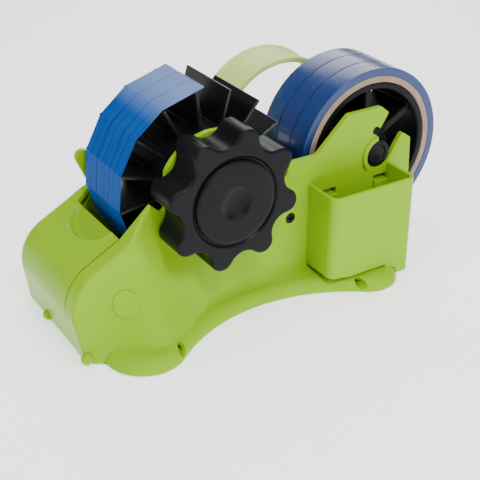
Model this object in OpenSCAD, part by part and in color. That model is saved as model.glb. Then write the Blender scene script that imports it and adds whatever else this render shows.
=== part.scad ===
// Multi-roll tape dispenser: a moulded two-part body with a paddle drum turned
// by a side knob, a lift-out spool with three rolls of tape, a spring-loaded
// cutter in the nose, a hook-on pocket and a hand loop.
// X runs from the nose to the spool, Y from the knob side to the far side.

/* [Body] */
// Outer face of each side wall, from the middle plane
wall_out = 27; // [24.5:0.5:32]
// Thickness of the side walls
wall_t = 3; // [2:0.25:4]
// Thickness of the nose skin
skin_t = 2.5; // [1.5:0.25:4]
// Radius of the rounded nose
nose_r = 24; // [18:1:28]
// Height of the centre of the nose rounding
nose_z = 26; // [22:1:32]
// Length of the flat run from the nose rounding to the tape slot
nose_flat = 20; // [12:1:24]
// Top of the deck between the walls
deck_z = 14.5; // [13.5:0.5:16]
// Thickness of the deck
deck_t = 2.5; // [1.5:0.25:3]
// Rear end of the side walls, behind the spool axle
wall_rear = 22.5; // [19:0.5:30]
// Radius of the wall lobe that carries the drum shaft
lobe_r = 30; // [24:1:34]
// How far the nose's far cheek stands out from the far wall
cheek_out = 7; // [4:0.5:8]

/* [Feet] */
// Height of the shell's lower rim above the table
rim_z = 1; // [0.5:0.25:2]
// Reach of the nose foot, from the middle plane
nose_foot = 38; // [34:0.5:40]
// Centre of the front foot, along the body
front_foot_x = -83.5; // [-86:0.5:-80]
// Centre of both feet, from the middle plane
foot_y = 42; // [38:0.5:45]
// Radius of the front foot
front_foot_r = 21; // [17:0.5:22]
// Centre of the rear foot, along the body
rear_foot_x = 55; // [52:0.5:60]
// Middle of the waist between the feet, along the body
waist_x = -11; // [-16:0.5:-6]
// Radius of the waist between the feet
waist_r = 86; // [78:1:92]
// Height of the skirt over the front foot
skirt_front_h = 26; // [22:0.5:32]
// Height of the skirt over the waist and the rear foot
skirt_rear_h = 9.5; // [8:0.25:10.5]
// Radius of a rubber pad
pad_r = 7; // [5:0.5:9]

/* [Drum] */
// Drum axis, along the body
drum_x = -34; // [-36:0.5:-32]
// Drum axis, above the table
drum_z = 72.5; // [71.5:0.5:77]
// Radius over the fin tips
fin_r = 48; // [42:0.5:49]
// Number of fins
fin_count = 16; // [10:1:18]
// Thickness of a fin
fin_t = 1.6; // [1:0.1:2.5]
// Radius of the drum tube
tube_r = 28; // [22:0.5:32]
// Thickness of the drum tube
tube_t = 2.5; // [1.5:0.25:4]
// Length of the drum
drum_w = 42; // [38:0.5:43]
// Radius of the drum shaft
shaft_r = 5; // [4:0.25:6]

/* [Knob] */
// Radius over the lobes of the knob
knob_r = 37; // [32:0.5:39]
// Depth of the knob
knob_h = 19.5; // [16:0.5:24]
// Number of finger scallops
scallop_count = 8; // [5:1:9]
// Radius of a finger scallop
scallop_r = 9; // [6:0.5:10]
// Radius of the cap in the knob's face
cap_r = 21; // [14:0.5:23]

/* [Spool] */
// Spool axis, along the body
axle_x = 70.5; // [69:0.5:74]
// Spool axis, above the table
axle_z = 65; // [63:0.5:70]
// Radius of the axle
axle_r = 6; // [5:0.25:7]
// Radius of the axle's end caps
axle_cap_r = 7.75; // [7.25:0.25:8.5]
// Lean of the hook mouth from the horizontal
mouth_angle = 57; // [52:1:62]
// Number of spokes in the hub
spoke_count = 6; // [4:1:8]

/* [Tape] */
// Outer radius of a full roll
roll_r = 46; // [43:0.5:48]
// Bore radius of a cardboard core
core_r = 38; // [37.5:0.25:38.5]
// Thickness of a cardboard core
core_t = 3.5; // [2:0.25:5]
// Width of one roll
roll_w = 13; // [10:0.25:13.25]
// Number of rolls side by side
roll_count = 3; // [1:1:3]
// Thickness of the tape film as drawn
film_t = 0.3; // [0.2:0.05:0.5]

/* [Cutter] */
// Cutter pivot, along the body
pivot_x = -84.5; // [-88:0.5:-82]
// Cutter pivot, above the table
pivot_z = 20.3; // [20:0.1:23]
// Radius of the pivot pin
pin_r = 2; // [1.5:0.25:3]
// Reach of the blade's edge from the pivot
blade_reach = 27.5; // [25:0.5:29]
// Gap from the tape on the drum to the blade's edge
blade_gap = 2; // [1.5:0.25:4]
// Number of blade teeth
tooth_count = 21; // [11:1:31]

/* [Pocket] */
// Front end of the pocket, along the body
pocket_x = 24; // [23:0.5:30]
// Length of the pocket
pocket_l = 55; // [44:1:56]
// Depth of the pocket, out from the wall
pocket_d = 23; // [18:0.5:26]
// Bottom of the pocket
pocket_z = 13; // [12.5:0.25:16]
// Top of the pocket
pocket_top = 58.5; // [56:0.5:60]
// Thickness of the pocket's walls
pocket_t = 2; // [1.25:0.25:3]

/* [Hand loop] */
// Middle of the loop, along the body
loop_x = 46; // [45:0.5:50]
// Outer radius of the loop
loop_r = 42; // [38:0.5:43]
// Thickness of the band
loop_t = 3; // [2:0.25:4]
// Width of the band
loop_w = 26.5; // [20:0.5:30]
// Gap from the far wall to the band
loop_gap = 3; // [2:0.25:5]

/* [Hidden] */

$fn = 72;
green = [0.66, 0.77, 0.31];
pale_green = [0.78, 0.86, 0.55];
black = [0.10, 0.10, 0.11];
steel = [0.72, 0.73, 0.75];
blue = [0.08, 0.33, 0.70];
card = [0.62, 0.47, 0.33];

// Clearances
fit_gap = 0.05;
seat_gap = 0.1;
slip = 0.3;
side_gap = 0.4;
cut = 1;

// Walls and nose
wall_in = wall_out - wall_t;
nose_x = -(axle_x + roll_r);
nose_top_a = 118;
nose_low_a = 190;
nose_steps = 12;
boss_wall = 4;
boss_r = shaft_r + boss_wall;
hook_pad = 1.4;
collar_w = 2;
pad_y = foot_y + 2;
pad_rim = 1;

// Drum and film
fin_pitch = 360 / fin_count;
film_r = fin_r + fin_t / 2 * tan(fin_pitch / 2) + fit_gap;
film_lip = 5.5;
sweep_r = norm([film_r + film_lip * sin(fin_pitch / 2), film_lip * cos(fin_pitch / 2)]) + film_t;
fin_root = tube_r - tube_t / 2;
fin_top_a = 95.8;
cut_tape_facets = 5;
tape_w = roll_count * roll_w;
tape_half = tape_w / 2;
drum_half = drum_w / 2;

// Knob, its cap and its screw
knob_gap = 1.5;
knob_back = wall_out + knob_gap;
knob_face = knob_back + knob_h;
knob_top_a = 76;
cap_depth = 2;
cap_proud = 0.8;
shaft_cover = 7;
shaft_end = knob_face - shaft_cover;
shaft_tail = 3;
screw_floor = 2;
knob_screw_r = 2;
knob_screw_l = 12;
knob_head_r = 5.5;
knob_head_h = 2.2;
clip_t = 1;
clip_depth = 1;
clip_flange = 3;

// Spool
seat_r = axle_cap_r + seat_gap;
hub_inset = 0.5;
hub_half = tape_half - hub_inset;
hub_r = core_r - slip;
hub_rim_t = 3.5;
hub_boss_r = axle_r + 6;
spoke_t = 4;
spoke_inset = 4;
spoke_first_a = 30;
cap_gap = 1.2;
cap_in = tape_half + cap_gap;
cap_out = wall_out - hub_inset;
cap_floor = 2;

// Fasteners
screw_r = 1.5;
head_r = 2.75;
head_h = 1.6;
post_r = 4.5;
post_bore_l = 22;
screw_l = 18;
tip_gap = 1;
// Shell screws, as places on the side view
screw_spots = [[-70.5, rim_z + 5.5], [42, rim_z + 5.5], [12.9, 41.6]];

// Guide bar
bar_x = 6;
bar_z = 20;
bar_r = 3;
bar_sink = wall_t - 1;

// Cutter arm, worked out from the drum so that the edge stays clear of it
edge_r = sweep_r + blade_gap;
pivot_run = drum_x - pivot_x;
pivot_rise = drum_z - pivot_z;
pivot_d = norm([pivot_run, pivot_rise]);
arm_open = acos((blade_reach * blade_reach + pivot_d * pivot_d - edge_r * edge_r) / (2 * blade_reach * pivot_d));
arm_angle = atan2(pivot_rise, pivot_run) + arm_open;
arm_t = 3;
arm_hub_r = pin_r + 3;
arm_l = blade_reach - 5.5;
arm_half = tape_half + 0.5;
spring_l = 6;
spring_r = pin_r + 2.2;
blade_t = 0.6;
blade_l = 15.5;
tooth_h = 1.5;
clamp_t = 2;
clamp_l = 8;
blade_screw_r = 1.2;
blade_head_r = 2.4;
blade_head_h = 1.5;
blade_screw_y = 14;
blade_hole_x = arm_l - 5;

// Pocket hooks: each passes through a slot in the wall and drops behind it
hook_w = 9;
hook_t = 2.5;
hook_drop = 2.5;
hook_lift = hook_drop + slip;
pocket_back_top = pocket_top - 9;
hook_low = pocket_back_top - hook_t;
hook_at = [pocket_x + 13.5, pocket_x + pocket_l - 6.5];

// Shapes that repeat

// A side-view shape, drawn from y0 to y1
module slab(y0, y1) {
    translate([0, y1, 0]) rotate([90, 0, 0]) linear_extrude(y1 - y0) children();
}

// A round bar along Y
module rod(x, z, r, y0, y1) {
    translate([x, y1, z]) rotate([90, 0, 0]) cylinder(r = r, h = y1 - y0);
}

// A tube along Y
module tube(x, z, r, r_in, y0, y1) {
    difference() {
        rod(x, z, r, y0, y1);
        rod(x, z, r_in, y0 - cut, y1 + cut);
    }
}

function polar(x, y, r, a) = [x + r * cos(a), y + r * sin(a)];

function arc(x, y, r, a0, a1, steps) =
    [for (i = [0 : steps]) polar(x, y, r, a0 + (a1 - a0) * i / steps)];

function reversed(list) = [for (i = [len(list) - 1 : -1 : 0]) list[i]];

// Nose outline from the tape slot round to the rim, moved in by inset
function nose_points(inset) =
    let (
        r = nose_r - inset,
        cx = nose_x + nose_r,
        top = polar(cx, nose_z, r, nose_top_a),
        low = polar(cx, nose_z, r, nose_low_a),
        drop = (low[1] - rim_z) / cos(nose_low_a - 180)
    )
    concat(
        [polar(top[0], top[1], nose_flat, nose_top_a - 90)],
        arc(cx, nose_z, r, nose_top_a, nose_low_a, nose_steps),
        [polar(low[0], low[1], drop, nose_low_a + 90)]
    );

slot_edge = nose_points(0)[0];

// The spool bracket's outline, from the step behind the drum round to the rear
step_front = 61;
step_back = 59;
step_h = 9;
step_low = 1.3;
brow_foot = 41.5;
brow_front = 22;
brow_h = 27.5;
horn_tip = [15.8, 9.7];
horn_back = [21.8, 5.1];
brow_tip = [7, 21.8];
rear_drop = 14.7;

function bracket_points() = [
    [axle_x - step_front, axle_z + step_low],
    [axle_x - step_back, axle_z + step_h],
    [axle_x - brow_foot, axle_z + step_h],
    [axle_x - brow_front, axle_z + brow_h],
    [axle_x, axle_z + brow_h],
    [axle_x + brow_tip[0], axle_z + brow_tip[1]],
    [axle_x + horn_tip[0], axle_z + horn_tip[1]],
    [axle_x + horn_back[0], axle_z + horn_back[1]],
    [axle_x + wall_rear, axle_z - rear_drop]
];

// Side wall with the drum lobe and the open hook for the axle
module wall_outline() {
    mouth_l = 40;
    mouth_half = seat_r + slip;
    relief_r = 2.5;
    relief_at = [-2.5, 14];
    cheek = [16.5, 15];
    lobe_front_a = 160;
    difference() {
        union() {
            polygon(concat(
                reversed(nose_points(0)),
                [
                    slot_edge + cheek,
                    polar(drum_x, drum_z, lobe_r - cut, lobe_front_a),
                    [drum_x, drum_z]
                ],
                bracket_points(),
                [[axle_x + wall_rear, rim_z]]
            ));
            translate([drum_x, drum_z]) circle(r = lobe_r);
        }
        translate([axle_x, axle_z]) {
            circle(r = seat_r);
            rotate(mouth_angle) translate([0, -mouth_half]) square([mouth_l, 2 * mouth_half]);
            translate(relief_at) circle(r = relief_r);
        }
    }
}

// Collar on the inside of the wall, round the axle seat
module hook_outline() {
    intersection() {
        wall_outline();
        translate([axle_x, axle_z]) circle(r = seat_r + collar_w);
    }
}

// Plan of the skirt at the table, from the nose to the rear, moved in by inset
waist_y = foot_y + sqrt(pow(front_foot_r + waist_r, 2) - pow(waist_x - front_foot_x, 2));
waist_reach = norm([rear_foot_x - waist_x, waist_y - foot_y]);
rear_foot_r = waist_reach - waist_r;
front_join_a = atan2(waist_y - foot_y, waist_x - front_foot_x);
rear_join_a = atan2(waist_y - foot_y, waist_x - rear_foot_x);
skirt_setback = 4;
skirt_front_x = nose_x + skirt_setback;
skirt_rear_x = rear_foot_x + rear_foot_r + 3;
foot_steps = 9;
waist_steps = 8;

function skirt_plan(inset) =
    let (
        front = arc(front_foot_x, foot_y, front_foot_r - inset, 180, front_join_a, foot_steps),
        waist = arc(waist_x, waist_y, waist_r + inset, front_join_a + 180, rear_join_a + 180, waist_steps),
        rear = arc(rear_foot_x, foot_y, rear_foot_r - inset, rear_join_a, 0, foot_steps)
    )
    concat(
        [[skirt_front_x + inset, nose_foot - inset]],
        front,
        [for (i = [1 : waist_steps - 1]) waist[i]],
        rear
    );

// Height of the skirt where it meets the wall
high_until = -78;
low_from = -38;

function skirt_h(x) =
    let (
        part = (low_from - x) / (low_from - high_until),
        ramp = min(max(part, 0), 1),
        smooth = ramp * ramp * (3 - 2 * ramp)
    )
    skirt_rear_h + (skirt_front_h - skirt_rear_h) * smooth;

// The skirt's hollow flare, as shares of its height and of its run to the wall
flare = [[0, 0], [0.14, 0.04], [0.32, 0.38], [0.56, 0.72], [0.8, 0.93], [1, 1]];

module skirt_solid(inset, face_y, back_y, floor_z, roof) {
    plan = skirt_plan(inset);
    last = len(plan) - 1;
    run = skirt_rear_x - skirt_front_x - 2 * inset;
    sides = len(flare) + 2;
    function top_x(i) = skirt_front_x + inset + run * i / last;
    function station(i) =
        let (x = top_x(i), h = skirt_h(x) - roof)
        concat(
            [for (f = flare) [
                plan[i][0] + (x - plan[i][0]) * f[1],
                plan[i][1] + (face_y - plan[i][1]) * f[1],
                floor_z + (rim_z + h - floor_z) * f[0]
            ]],
            [[x, back_y, rim_z + h], [x, back_y, floor_z]]
        );
    points = [for (i = [0 : last]) each station(i)];
    function at(i, j) = i * sides + j % sides;
    walls = [for (i = [0 : last - 1], j = [0 : sides - 1])
        each [
            [at(i, j), at(i + 1, j + 1), at(i, j + 1)],
            [at(i, j), at(i + 1, j), at(i + 1, j + 1)]
        ]];
    front = [for (j = [0 : sides - 3]) [at(0, sides - 1), at(0, j), at(0, j + 1)]];
    rear = [for (j = [0 : sides - 3]) [at(last, sides - 1), at(last, j + 1), at(last, j)]];
    polyhedron(points, concat(walls, front, rear));
}

// Hollow skirt of the far side, with a boss over each rubber pad
module skirt() {
    bury = 1;
    step = 0.5;
    difference() {
        skirt_solid(0, wall_out, wall_out - bury, rim_z, 0);
        difference() {
            skirt_solid(skin_t, wall_out + step, wall_out, rim_z - cut, skin_t);
            for (x = [front_foot_x, rear_foot_x])
                translate([x, pad_y, rim_z - 2 * cut]) cylinder(r = pad_r + pad_rim, h = skirt_front_h);
        }
    }
}

// Holes that both walls share: shaft, blade pin and guide bar
module wall_holes(y0, y1, sink0, sink1) {
    rod(drum_x, drum_z, shaft_r + fit_gap, y0 - cut, y1 + cut);
    rod(pivot_x, pivot_z, pin_r + fit_gap, sink0, sink1);
    rod(bar_x, bar_z, bar_r + fit_gap, sink0, sink1);
}

// Slots in the right wall that take the pocket's hooks
module hook_slots() {
    slot_low = hook_low - fit_gap;
    slot_h = hook_t + hook_lift + slip;
    for (x = hook_at)
        translate([x - hook_w / 2 - slip, -wall_out - cut, slot_low])
            cube([hook_w + 2 * slip, wall_t + 2 * cut, slot_h]);
}

// Sub-parts of the body

// Each shell has a small round nub at the foot of the nose
nub_r = 3;

module right_shell() {
    emboss_r = 7.2;
    emboss_h = 0.6;
    emboss_z = rim_z + skirt_front_h + 2.3;
    color(green) difference() {
        union() {
            slab(-wall_out, -wall_in) wall_outline();
            slab(-wall_in - fit_gap, -wall_in + hook_pad) hook_outline();
            rod(drum_x, drum_z, boss_r, -wall_in - fit_gap, -drum_half - side_gap);
            rod(pivot_x, emboss_z, emboss_r, -wall_out - emboss_h, -wall_out + fit_gap);
            mirror([0, 1, 0]) skirt();
            translate([skirt_front_x, nub_r / 3 - nose_foot, rim_z + nub_r]) sphere(r = nub_r);
        }
        wall_holes(-wall_out, -drum_half, -wall_in - bar_sink, -wall_in + cut);
        for (s = screw_spots) {
            rod(s[0], s[1], screw_r + slip, -wall_out - cut, -wall_in + cut);
            rod(s[0], s[1], head_r + slip, -wall_out - foot_y, -wall_out + head_h);
        }
        hook_slots();
    }
}

// The far wall also has a round ear that stands up beside the tape
module far_wall_outline() {
    ear_r = 4;
    ear_foot = slot_edge + [13, 6];
    ear_run = [-7.4, 17.4];
    ear_tip = ear_foot + ear_run;
    wall_outline();
    translate(ear_tip) circle(r = ear_r);
    translate(ear_foot) rotate(atan2(ear_run[1], ear_run[0]))
        translate([0, -ear_r]) square([norm(ear_run), 2 * ear_r]);
}

// The nose is wider on the far side: a hollow cheek beside the wall, open below
module far_cheek() {
    end_x = slot_edge[0] + 14;
    end_z = slot_edge[1] + 12;
    inner = nose_points(skin_t);
    difference() {
        slab(wall_out - fit_gap, wall_out + cheek_out)
            polygon(concat(nose_points(0), [[end_x, rim_z], [end_x, end_z]]));
        slab(wall_out, wall_out + cheek_out - skin_t) polygon(concat(
            inner,
            [
                [inner[len(inner) - 1][0], rim_z - cut],
                [end_x - skin_t, rim_z - cut],
                [end_x - skin_t, end_z - 2 * skin_t]
            ]
        ));
    }
}

// Half-moon finger scoop in the nose, in front of the tape slot: its floor
// dips away from the slot's edge, and a pad under the skin carries it
scoop_r = 15;
scoop_dip = 12;
scoop_edge = 1.2;

module at_scoop() {
    translate([slot_edge[0], 0, slot_edge[1]])
        rotate([0, scoop_dip - nose_top_a + 90, 0])
            translate([0, 0, -scoop_edge]) children();
}

module scoop_cut() {
    at_scoop() cylinder(r = scoop_r, h = 2 * scoop_r);
}

module scoop_pad() {
    carrier_r = scoop_r + skin_t;
    carrier_end = slot_edge[0] - skin_t / 4;
    intersection() {
        at_scoop() translate([0, 0, -skin_t]) cylinder(r = carrier_r, h = carrier_r);
        slab(-wall_in, wall_in) intersection() {
            polygon(concat(nose_points(skin_t / 2), [[slot_edge[0], rim_z]]));
            translate([nose_x, rim_z]) square([carrier_end - nose_x, slot_edge[1]]);
        }
    }
}

module left_shell() {
    deck_front = nose_x + skin_t;
    deck_rear = axle_x + wall_rear;
    far_nub_y = 10;
    color(green) difference() {
        union() {
            slab(wall_in, wall_out) far_wall_outline();
            slab(wall_in - hook_pad, wall_in + fit_gap) hook_outline();
            rod(drum_x, drum_z, boss_r, drum_half + side_gap, wall_in + fit_gap);
            slab(-wall_in, wall_in + fit_gap)
                polygon(concat(nose_points(0), reversed(nose_points(skin_t))));
            translate([deck_front, -wall_in, deck_z - deck_t])
                cube([deck_rear - deck_front, wall_in + wall_in + fit_gap, deck_t]);
            scoop_pad();
            for (s = screw_spots) rod(s[0], s[1], post_r, -wall_in, wall_in + fit_gap);
            translate([skirt_front_x, far_nub_y, rim_z + nub_r]) sphere(r = nub_r);
            skirt();
            far_cheek();
        }
        wall_holes(drum_half, wall_out, wall_in - cut, wall_in + bar_sink);
        for (s = screw_spots) rod(s[0], s[1], screw_r + fit_gap, -wall_in - cut, -wall_in + post_bore_l);
        for (p = loop_screw_spots()) {
            rod(p[0], p[1], screw_r + slip, wall_in - cut, wall_out + cut);
            rod(p[0], p[1], head_r + slip, wall_in - hook_pad - cut, wall_in);
        }
        scoop_cut();
    }
}

module shell_screws() {
    seat = -wall_out + head_h;
    color(steel) for (s = screw_spots) {
        rod(s[0], s[1], head_r, -wall_out, seat);
        rod(s[0], s[1], screw_r, seat - fit_gap, seat + screw_l);
    }
}

// The hand loop's two lugs, each with one screw from inside the far wall
lug_h = 15;
lug_t = 6;

function loop_screw_spots() = [
    for (side = [-1, 1]) [loop_x + side * (loop_r - lug_t), axle_z - lug_h / 2]
];

module hand_loop() {
    near = wall_out + loop_gap;
    lug_w = 2 * lug_t;
    color(pale_green) difference() {
        union() {
            slab(near, near + loop_w) difference() {
                translate([loop_x, axle_z]) circle(r = loop_r);
                translate([loop_x, axle_z]) circle(r = loop_r - loop_t);
                translate([loop_x - 2 * loop_r, axle_z - 2 * loop_r]) square([4 * loop_r, 2 * loop_r]);
            }
            for (side = [-1, 1]) {
                leg = loop_x + side * (loop_r - loop_t / 2);
                lug = loop_x + side * (loop_r - lug_t);
                translate([leg - loop_t / 2, near, axle_z - lug_h]) cube([loop_t, loop_w, lug_h]);
                translate([lug - lug_t, wall_out, axle_z - lug_h]) cube([lug_w, loop_gap + lug_t, lug_h]);
            }
        }
        for (p = loop_screw_spots()) rod(p[0], p[1], screw_r + fit_gap, wall_out - cut, wall_out + lug_t);
    }
}

module loop_screws() {
    color(steel) for (p = loop_screw_spots()) {
        rod(p[0], p[1], head_r, wall_in - head_h, wall_in);
        rod(p[0], p[1], screw_r, wall_in - fit_gap, wall_out + lug_t - tip_gap);
    }
}

module foot_pads() {
    color(black) for (x = [front_foot_x, rear_foot_x], side = [-1, 1])
        translate([x, side * pad_y, 0]) cylinder(r = pad_r, h = rim_z);
}

module guide_bar() {
    reach = wall_in + bar_sink;
    color(steel) rod(bar_x, bar_z, bar_r, -reach, reach);
}

// The run of tape from the rolls, over the guide bar and under the drum
module tape_web() {
    roll_gap = 0.4;
    web_end_a = -138;
    web_steps = 12;
    over = bar_z + bar_r + slip;
    run = [bar_x - axle_x, over - axle_z];
    drum_run = [bar_x - drum_x, over - drum_z];
    web_roll_r = roll_r + roll_gap;
    web_drum_r = sweep_r + slip + blade_gap / 4;
    roll_a = atan2(run[1], run[0]) + acos(web_roll_r / norm(run));
    drum_a = atan2(drum_run[1], drum_run[0]) - acos(web_drum_r / norm(drum_run));
    upper = concat(
        [polar(axle_x, axle_z, web_roll_r, roll_a), [bar_x, over + film_t]],
        arc(drum_x, drum_z, web_drum_r, drum_a, web_end_a, web_steps)
    );
    lower = concat(
        [polar(axle_x, axle_z, web_roll_r + film_t, roll_a), [bar_x, over]],
        arc(drum_x, drum_z, web_drum_r + film_t, drum_a, web_end_a, web_steps)
    );
    color(blue) slab(-tape_half, tape_half) polygon(concat(upper, reversed(lower)));
}

module blade_pin() {
    reach = wall_in + bar_sink;
    color(steel) rod(pivot_x, pivot_z, pin_r, -reach, reach);
}

module blade_spring() {
    color(steel) tube(pivot_x, pivot_z, spring_r, pin_r + slip, arm_half - spring_l, arm_half);
}

// Sub-parts that turn with the drum

// Each fin's place, drawn along X from the drum's axis
module at_fins() {
    for (k = [0 : fin_count - 1])
        translate([drum_x, 0, drum_z]) rotate([0, -(fin_top_a + fin_pitch * k), 0]) children();
}

module paddle_drum() {
    web_t = 4;
    tube_half = drum_half - 1;
    slot_t = fin_t + 2 * fit_gap;
    color(black) difference() {
        union() {
            tube(drum_x, drum_z, tube_r, tube_r - tube_t, -tube_half, tube_half);
            rod(drum_x, drum_z, fin_root - fit_gap, -web_t / 2, web_t / 2);
            rod(drum_x, drum_z, boss_r, -drum_half, drum_half);
        }
        rod(drum_x, drum_z, shaft_r + fit_gap, -drum_half - cut, drum_half + cut);
        at_fins() translate([fin_root, -drum_half - cut, -slot_t / 2])
            cube([tube_t, drum_w + 2 * cut, slot_t]);
    }
}

// The fins are plates that sit in slots along the drum
module drum_fins() {
    foot = fin_root + fit_gap;
    color(black) at_fins() translate([foot, -drum_half, -fin_t / 2]) cube([fin_r - foot, drum_w, fin_t]);
}

module drum_shaft() {
    groove_y = wall_out + slip;
    groove_w = clip_t + 4 * fit_gap;
    color(steel) difference() {
        rod(drum_x, drum_z, shaft_r, -shaft_end, wall_out + shaft_tail);
        tube(drum_x, drum_z, shaft_r + cut, shaft_r - clip_depth, groove_y, groove_y + groove_w);
        rod(drum_x, drum_z, knob_screw_r + fit_gap, -shaft_end - cut, -shaft_end + knob_screw_l + tip_gap);
    }
}

module turning_knob() {
    shell_t = 4;
    scallop_wall = 5;
    hollow_r = knob_r - scallop_r - scallop_wall;
    scallop_at = knob_r + 1;
    recess = knob_face - cap_depth;
    color(black) difference() {
        slab(-knob_face, -knob_back) translate([drum_x, drum_z]) difference() {
            circle(r = knob_r);
            for (k = [0 : scallop_count - 1])
                rotate(knob_top_a + 360 / scallop_count * (k + 0.5))
                    translate([scallop_at, 0]) circle(r = scallop_r);
        }
        tube(drum_x, drum_z, hollow_r, boss_r, -recess + shell_t, -knob_back + cut);
        rod(drum_x, drum_z, shaft_r + fit_gap, -shaft_end - fit_gap, -knob_back + cut);
        rod(drum_x, drum_z, cap_r, -knob_face - cut, -recess);
        rod(drum_x, drum_z, knob_head_r + slip, -recess - cut, -shaft_end - screw_floor);
        rod(drum_x, drum_z, knob_screw_r + slip, -recess - cut, -shaft_end + cut);
    }
}

module knob_cap() {
    recess = knob_face - cap_depth;
    color(black) rod(drum_x, drum_z, cap_r - slip, -knob_face - cap_proud, -recess);
}

module knob_screw() {
    seat = -shaft_end - screw_floor;
    color(steel) {
        rod(drum_x, drum_z, knob_head_r, seat - knob_head_h, seat);
        rod(drum_x, drum_z, knob_screw_r, seat - fit_gap, -shaft_end + knob_screw_l);
    }
}

module shaft_clip() {
    near = wall_out + slip + 2 * fit_gap;
    mouth = shaft_r - 1.5;
    ring_r = shaft_r + clip_flange;
    color(steel) difference() {
        tube(drum_x, drum_z, ring_r, shaft_r - clip_depth + fit_gap, near, near + clip_t);
        translate([drum_x, near - cut, drum_z - mouth]) cube([ring_r + cut, clip_t + 2 * cut, 2 * mouth]);
    }
}

// Three strips of cut tape that lie over the fin tips: the cut end stands out
// straight past its last fin, and the tail runs on towards the tape slot
module cut_tape() {
    strip_gap = 0.4;
    tail_share = 0.4;
    function along(r) =
        let (
            tips = [for (k = [0 : cut_tape_facets + 1]) polar(drum_x, drum_z, r, fin_top_a + fin_pitch * k)],
            lip = polar(tips[0][0], tips[0][1], film_lip, fin_top_a - 90 + fin_pitch / 2),
            last = tips[cut_tape_facets],
            tail = last + (tips[cut_tape_facets + 1] - last) * tail_share
        )
        concat([lip], [for (k = [1 : cut_tape_facets]) tips[k]], [tail]);
    outer = along(film_r + film_t);
    inner = along(film_r);
    color(blue) for (i = [0 : roll_count - 1]) {
        y0 = -tape_half + roll_w * i + strip_gap / 2;
        slab(y0, y0 + roll_w - strip_gap) polygon(concat(outer, reversed(inner)));
    }
}

// Sub-parts that lift out with the spool

module spool_axle() {
    color(black) rod(axle_x, axle_z, axle_r, -cap_out + cap_floor, cap_out - cap_floor);
}

module axle_caps() {
    color(black) for (side = [0, 1]) mirror([0, side, 0]) difference() {
        rod(axle_x, axle_z, axle_cap_r, cap_in, cap_out);
        rod(axle_x, axle_z, axle_r + fit_gap, cap_in - cut, cap_out - cap_floor);
    }
}

module spool_hub() {
    spoke_root = hub_boss_r - 1;
    spoke_end = hub_r - hub_rim_t / 2;
    spoke_half = hub_half - spoke_inset;
    color(black) difference() {
        union() {
            tube(axle_x, axle_z, hub_r, hub_r - hub_rim_t, -hub_half, hub_half);
            rod(axle_x, axle_z, hub_boss_r, -hub_half, hub_half);
            for (k = [0 : spoke_count - 1])
                translate([axle_x, 0, axle_z])
                    rotate([0, -spoke_first_a - 360 / spoke_count * k, 0])
                        translate([spoke_root, -spoke_half, -spoke_t / 2])
                            cube([spoke_end - spoke_root, 2 * spoke_half, spoke_t]);
        }
        rod(axle_x, axle_z, axle_r + fit_gap, -hub_half - cut, hub_half + cut);
    }
}

// Each roll is a core and its winding, side by side along the hub
roll_slack = 0.2;

function roll_y(i) = -tape_half + roll_w * i;

module tape_core(i) {
    color(card)
        tube(axle_x, axle_z, core_r + core_t, core_r, roll_y(i) + roll_slack, roll_y(i) + roll_w - roll_slack);
}

module tape_roll(i) {
    color(blue)
        tube(axle_x, axle_z, roll_r, core_r + core_t, roll_y(i) + roll_slack, roll_y(i) + roll_w - roll_slack);
}

// Sub-parts of the cutter, drawn along the arm from the pivot

module on_arm() {
    translate([pivot_x, 0, pivot_z]) rotate([0, -arm_angle, 0]) children();
}

module blade_arm() {
    hub_end = arm_half - spring_l - slip;
    root_x = spring_r + slip;
    color(black) on_arm() difference() {
        union() {
            rod(0, 0, arm_hub_r, -arm_half, hub_end);
            translate([0, -arm_half, -arm_t / 2]) cube([arm_l, arm_half + hub_end, arm_t]);
            translate([root_x, hub_end - 1, -arm_t / 2]) cube([arm_l - root_x, arm_half - hub_end + 1, arm_t]);
        }
        rod(0, 0, pin_r + fit_gap, -arm_half - cut, hub_end + cut);
        for (y = [-blade_screw_y, blade_screw_y])
            translate([blade_hole_x, y, -arm_t]) cylinder(r = blade_screw_r + fit_gap, h = 2 * arm_t);
    }
}

module cutting_blade() {
    tooth_w = 2 * arm_half / tooth_count;
    root = blade_reach - tooth_h;
    teeth = [for (i = [0 : tooth_count - 1]) each [
        [root, -arm_half + tooth_w * i],
        [blade_reach, -arm_half + tooth_w * (i + 0.5)]
    ]];
    color(steel) on_arm() translate([0, 0, arm_t / 2]) difference() {
        linear_extrude(blade_t) polygon(concat(
            [[blade_reach - blade_l, -arm_half]],
            teeth,
            [[root, arm_half], [blade_reach - blade_l, arm_half]]
        ));
        for (y = [-blade_screw_y, blade_screw_y])
            translate([blade_hole_x, y, -cut]) cylinder(r = blade_screw_r + slip, h = blade_t + 2 * cut);
    }
}

module blade_clamp() {
    color(black) on_arm() translate([blade_hole_x, 0, arm_t / 2 + blade_t]) difference() {
        translate([-clamp_l / 2, -arm_half, 0]) cube([clamp_l, 2 * arm_half, clamp_t]);
        for (y = [-blade_screw_y, blade_screw_y])
            translate([0, y, -cut]) cylinder(r = blade_screw_r + slip, h = clamp_t + 2 * cut);
    }
}

module blade_screws() {
    seat = arm_t / 2 + blade_t + clamp_t;
    color(steel) on_arm() for (y = [-blade_screw_y, blade_screw_y]) translate([blade_hole_x, y, 0]) {
        translate([0, 0, -arm_t / 2]) cylinder(r = blade_screw_r, h = seat + arm_t / 2 + fit_gap);
        translate([0, 0, seat]) cylinder(r = blade_head_r, h = blade_head_h);
    }
}

// Open-top pocket that hooks into the right wall

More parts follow.
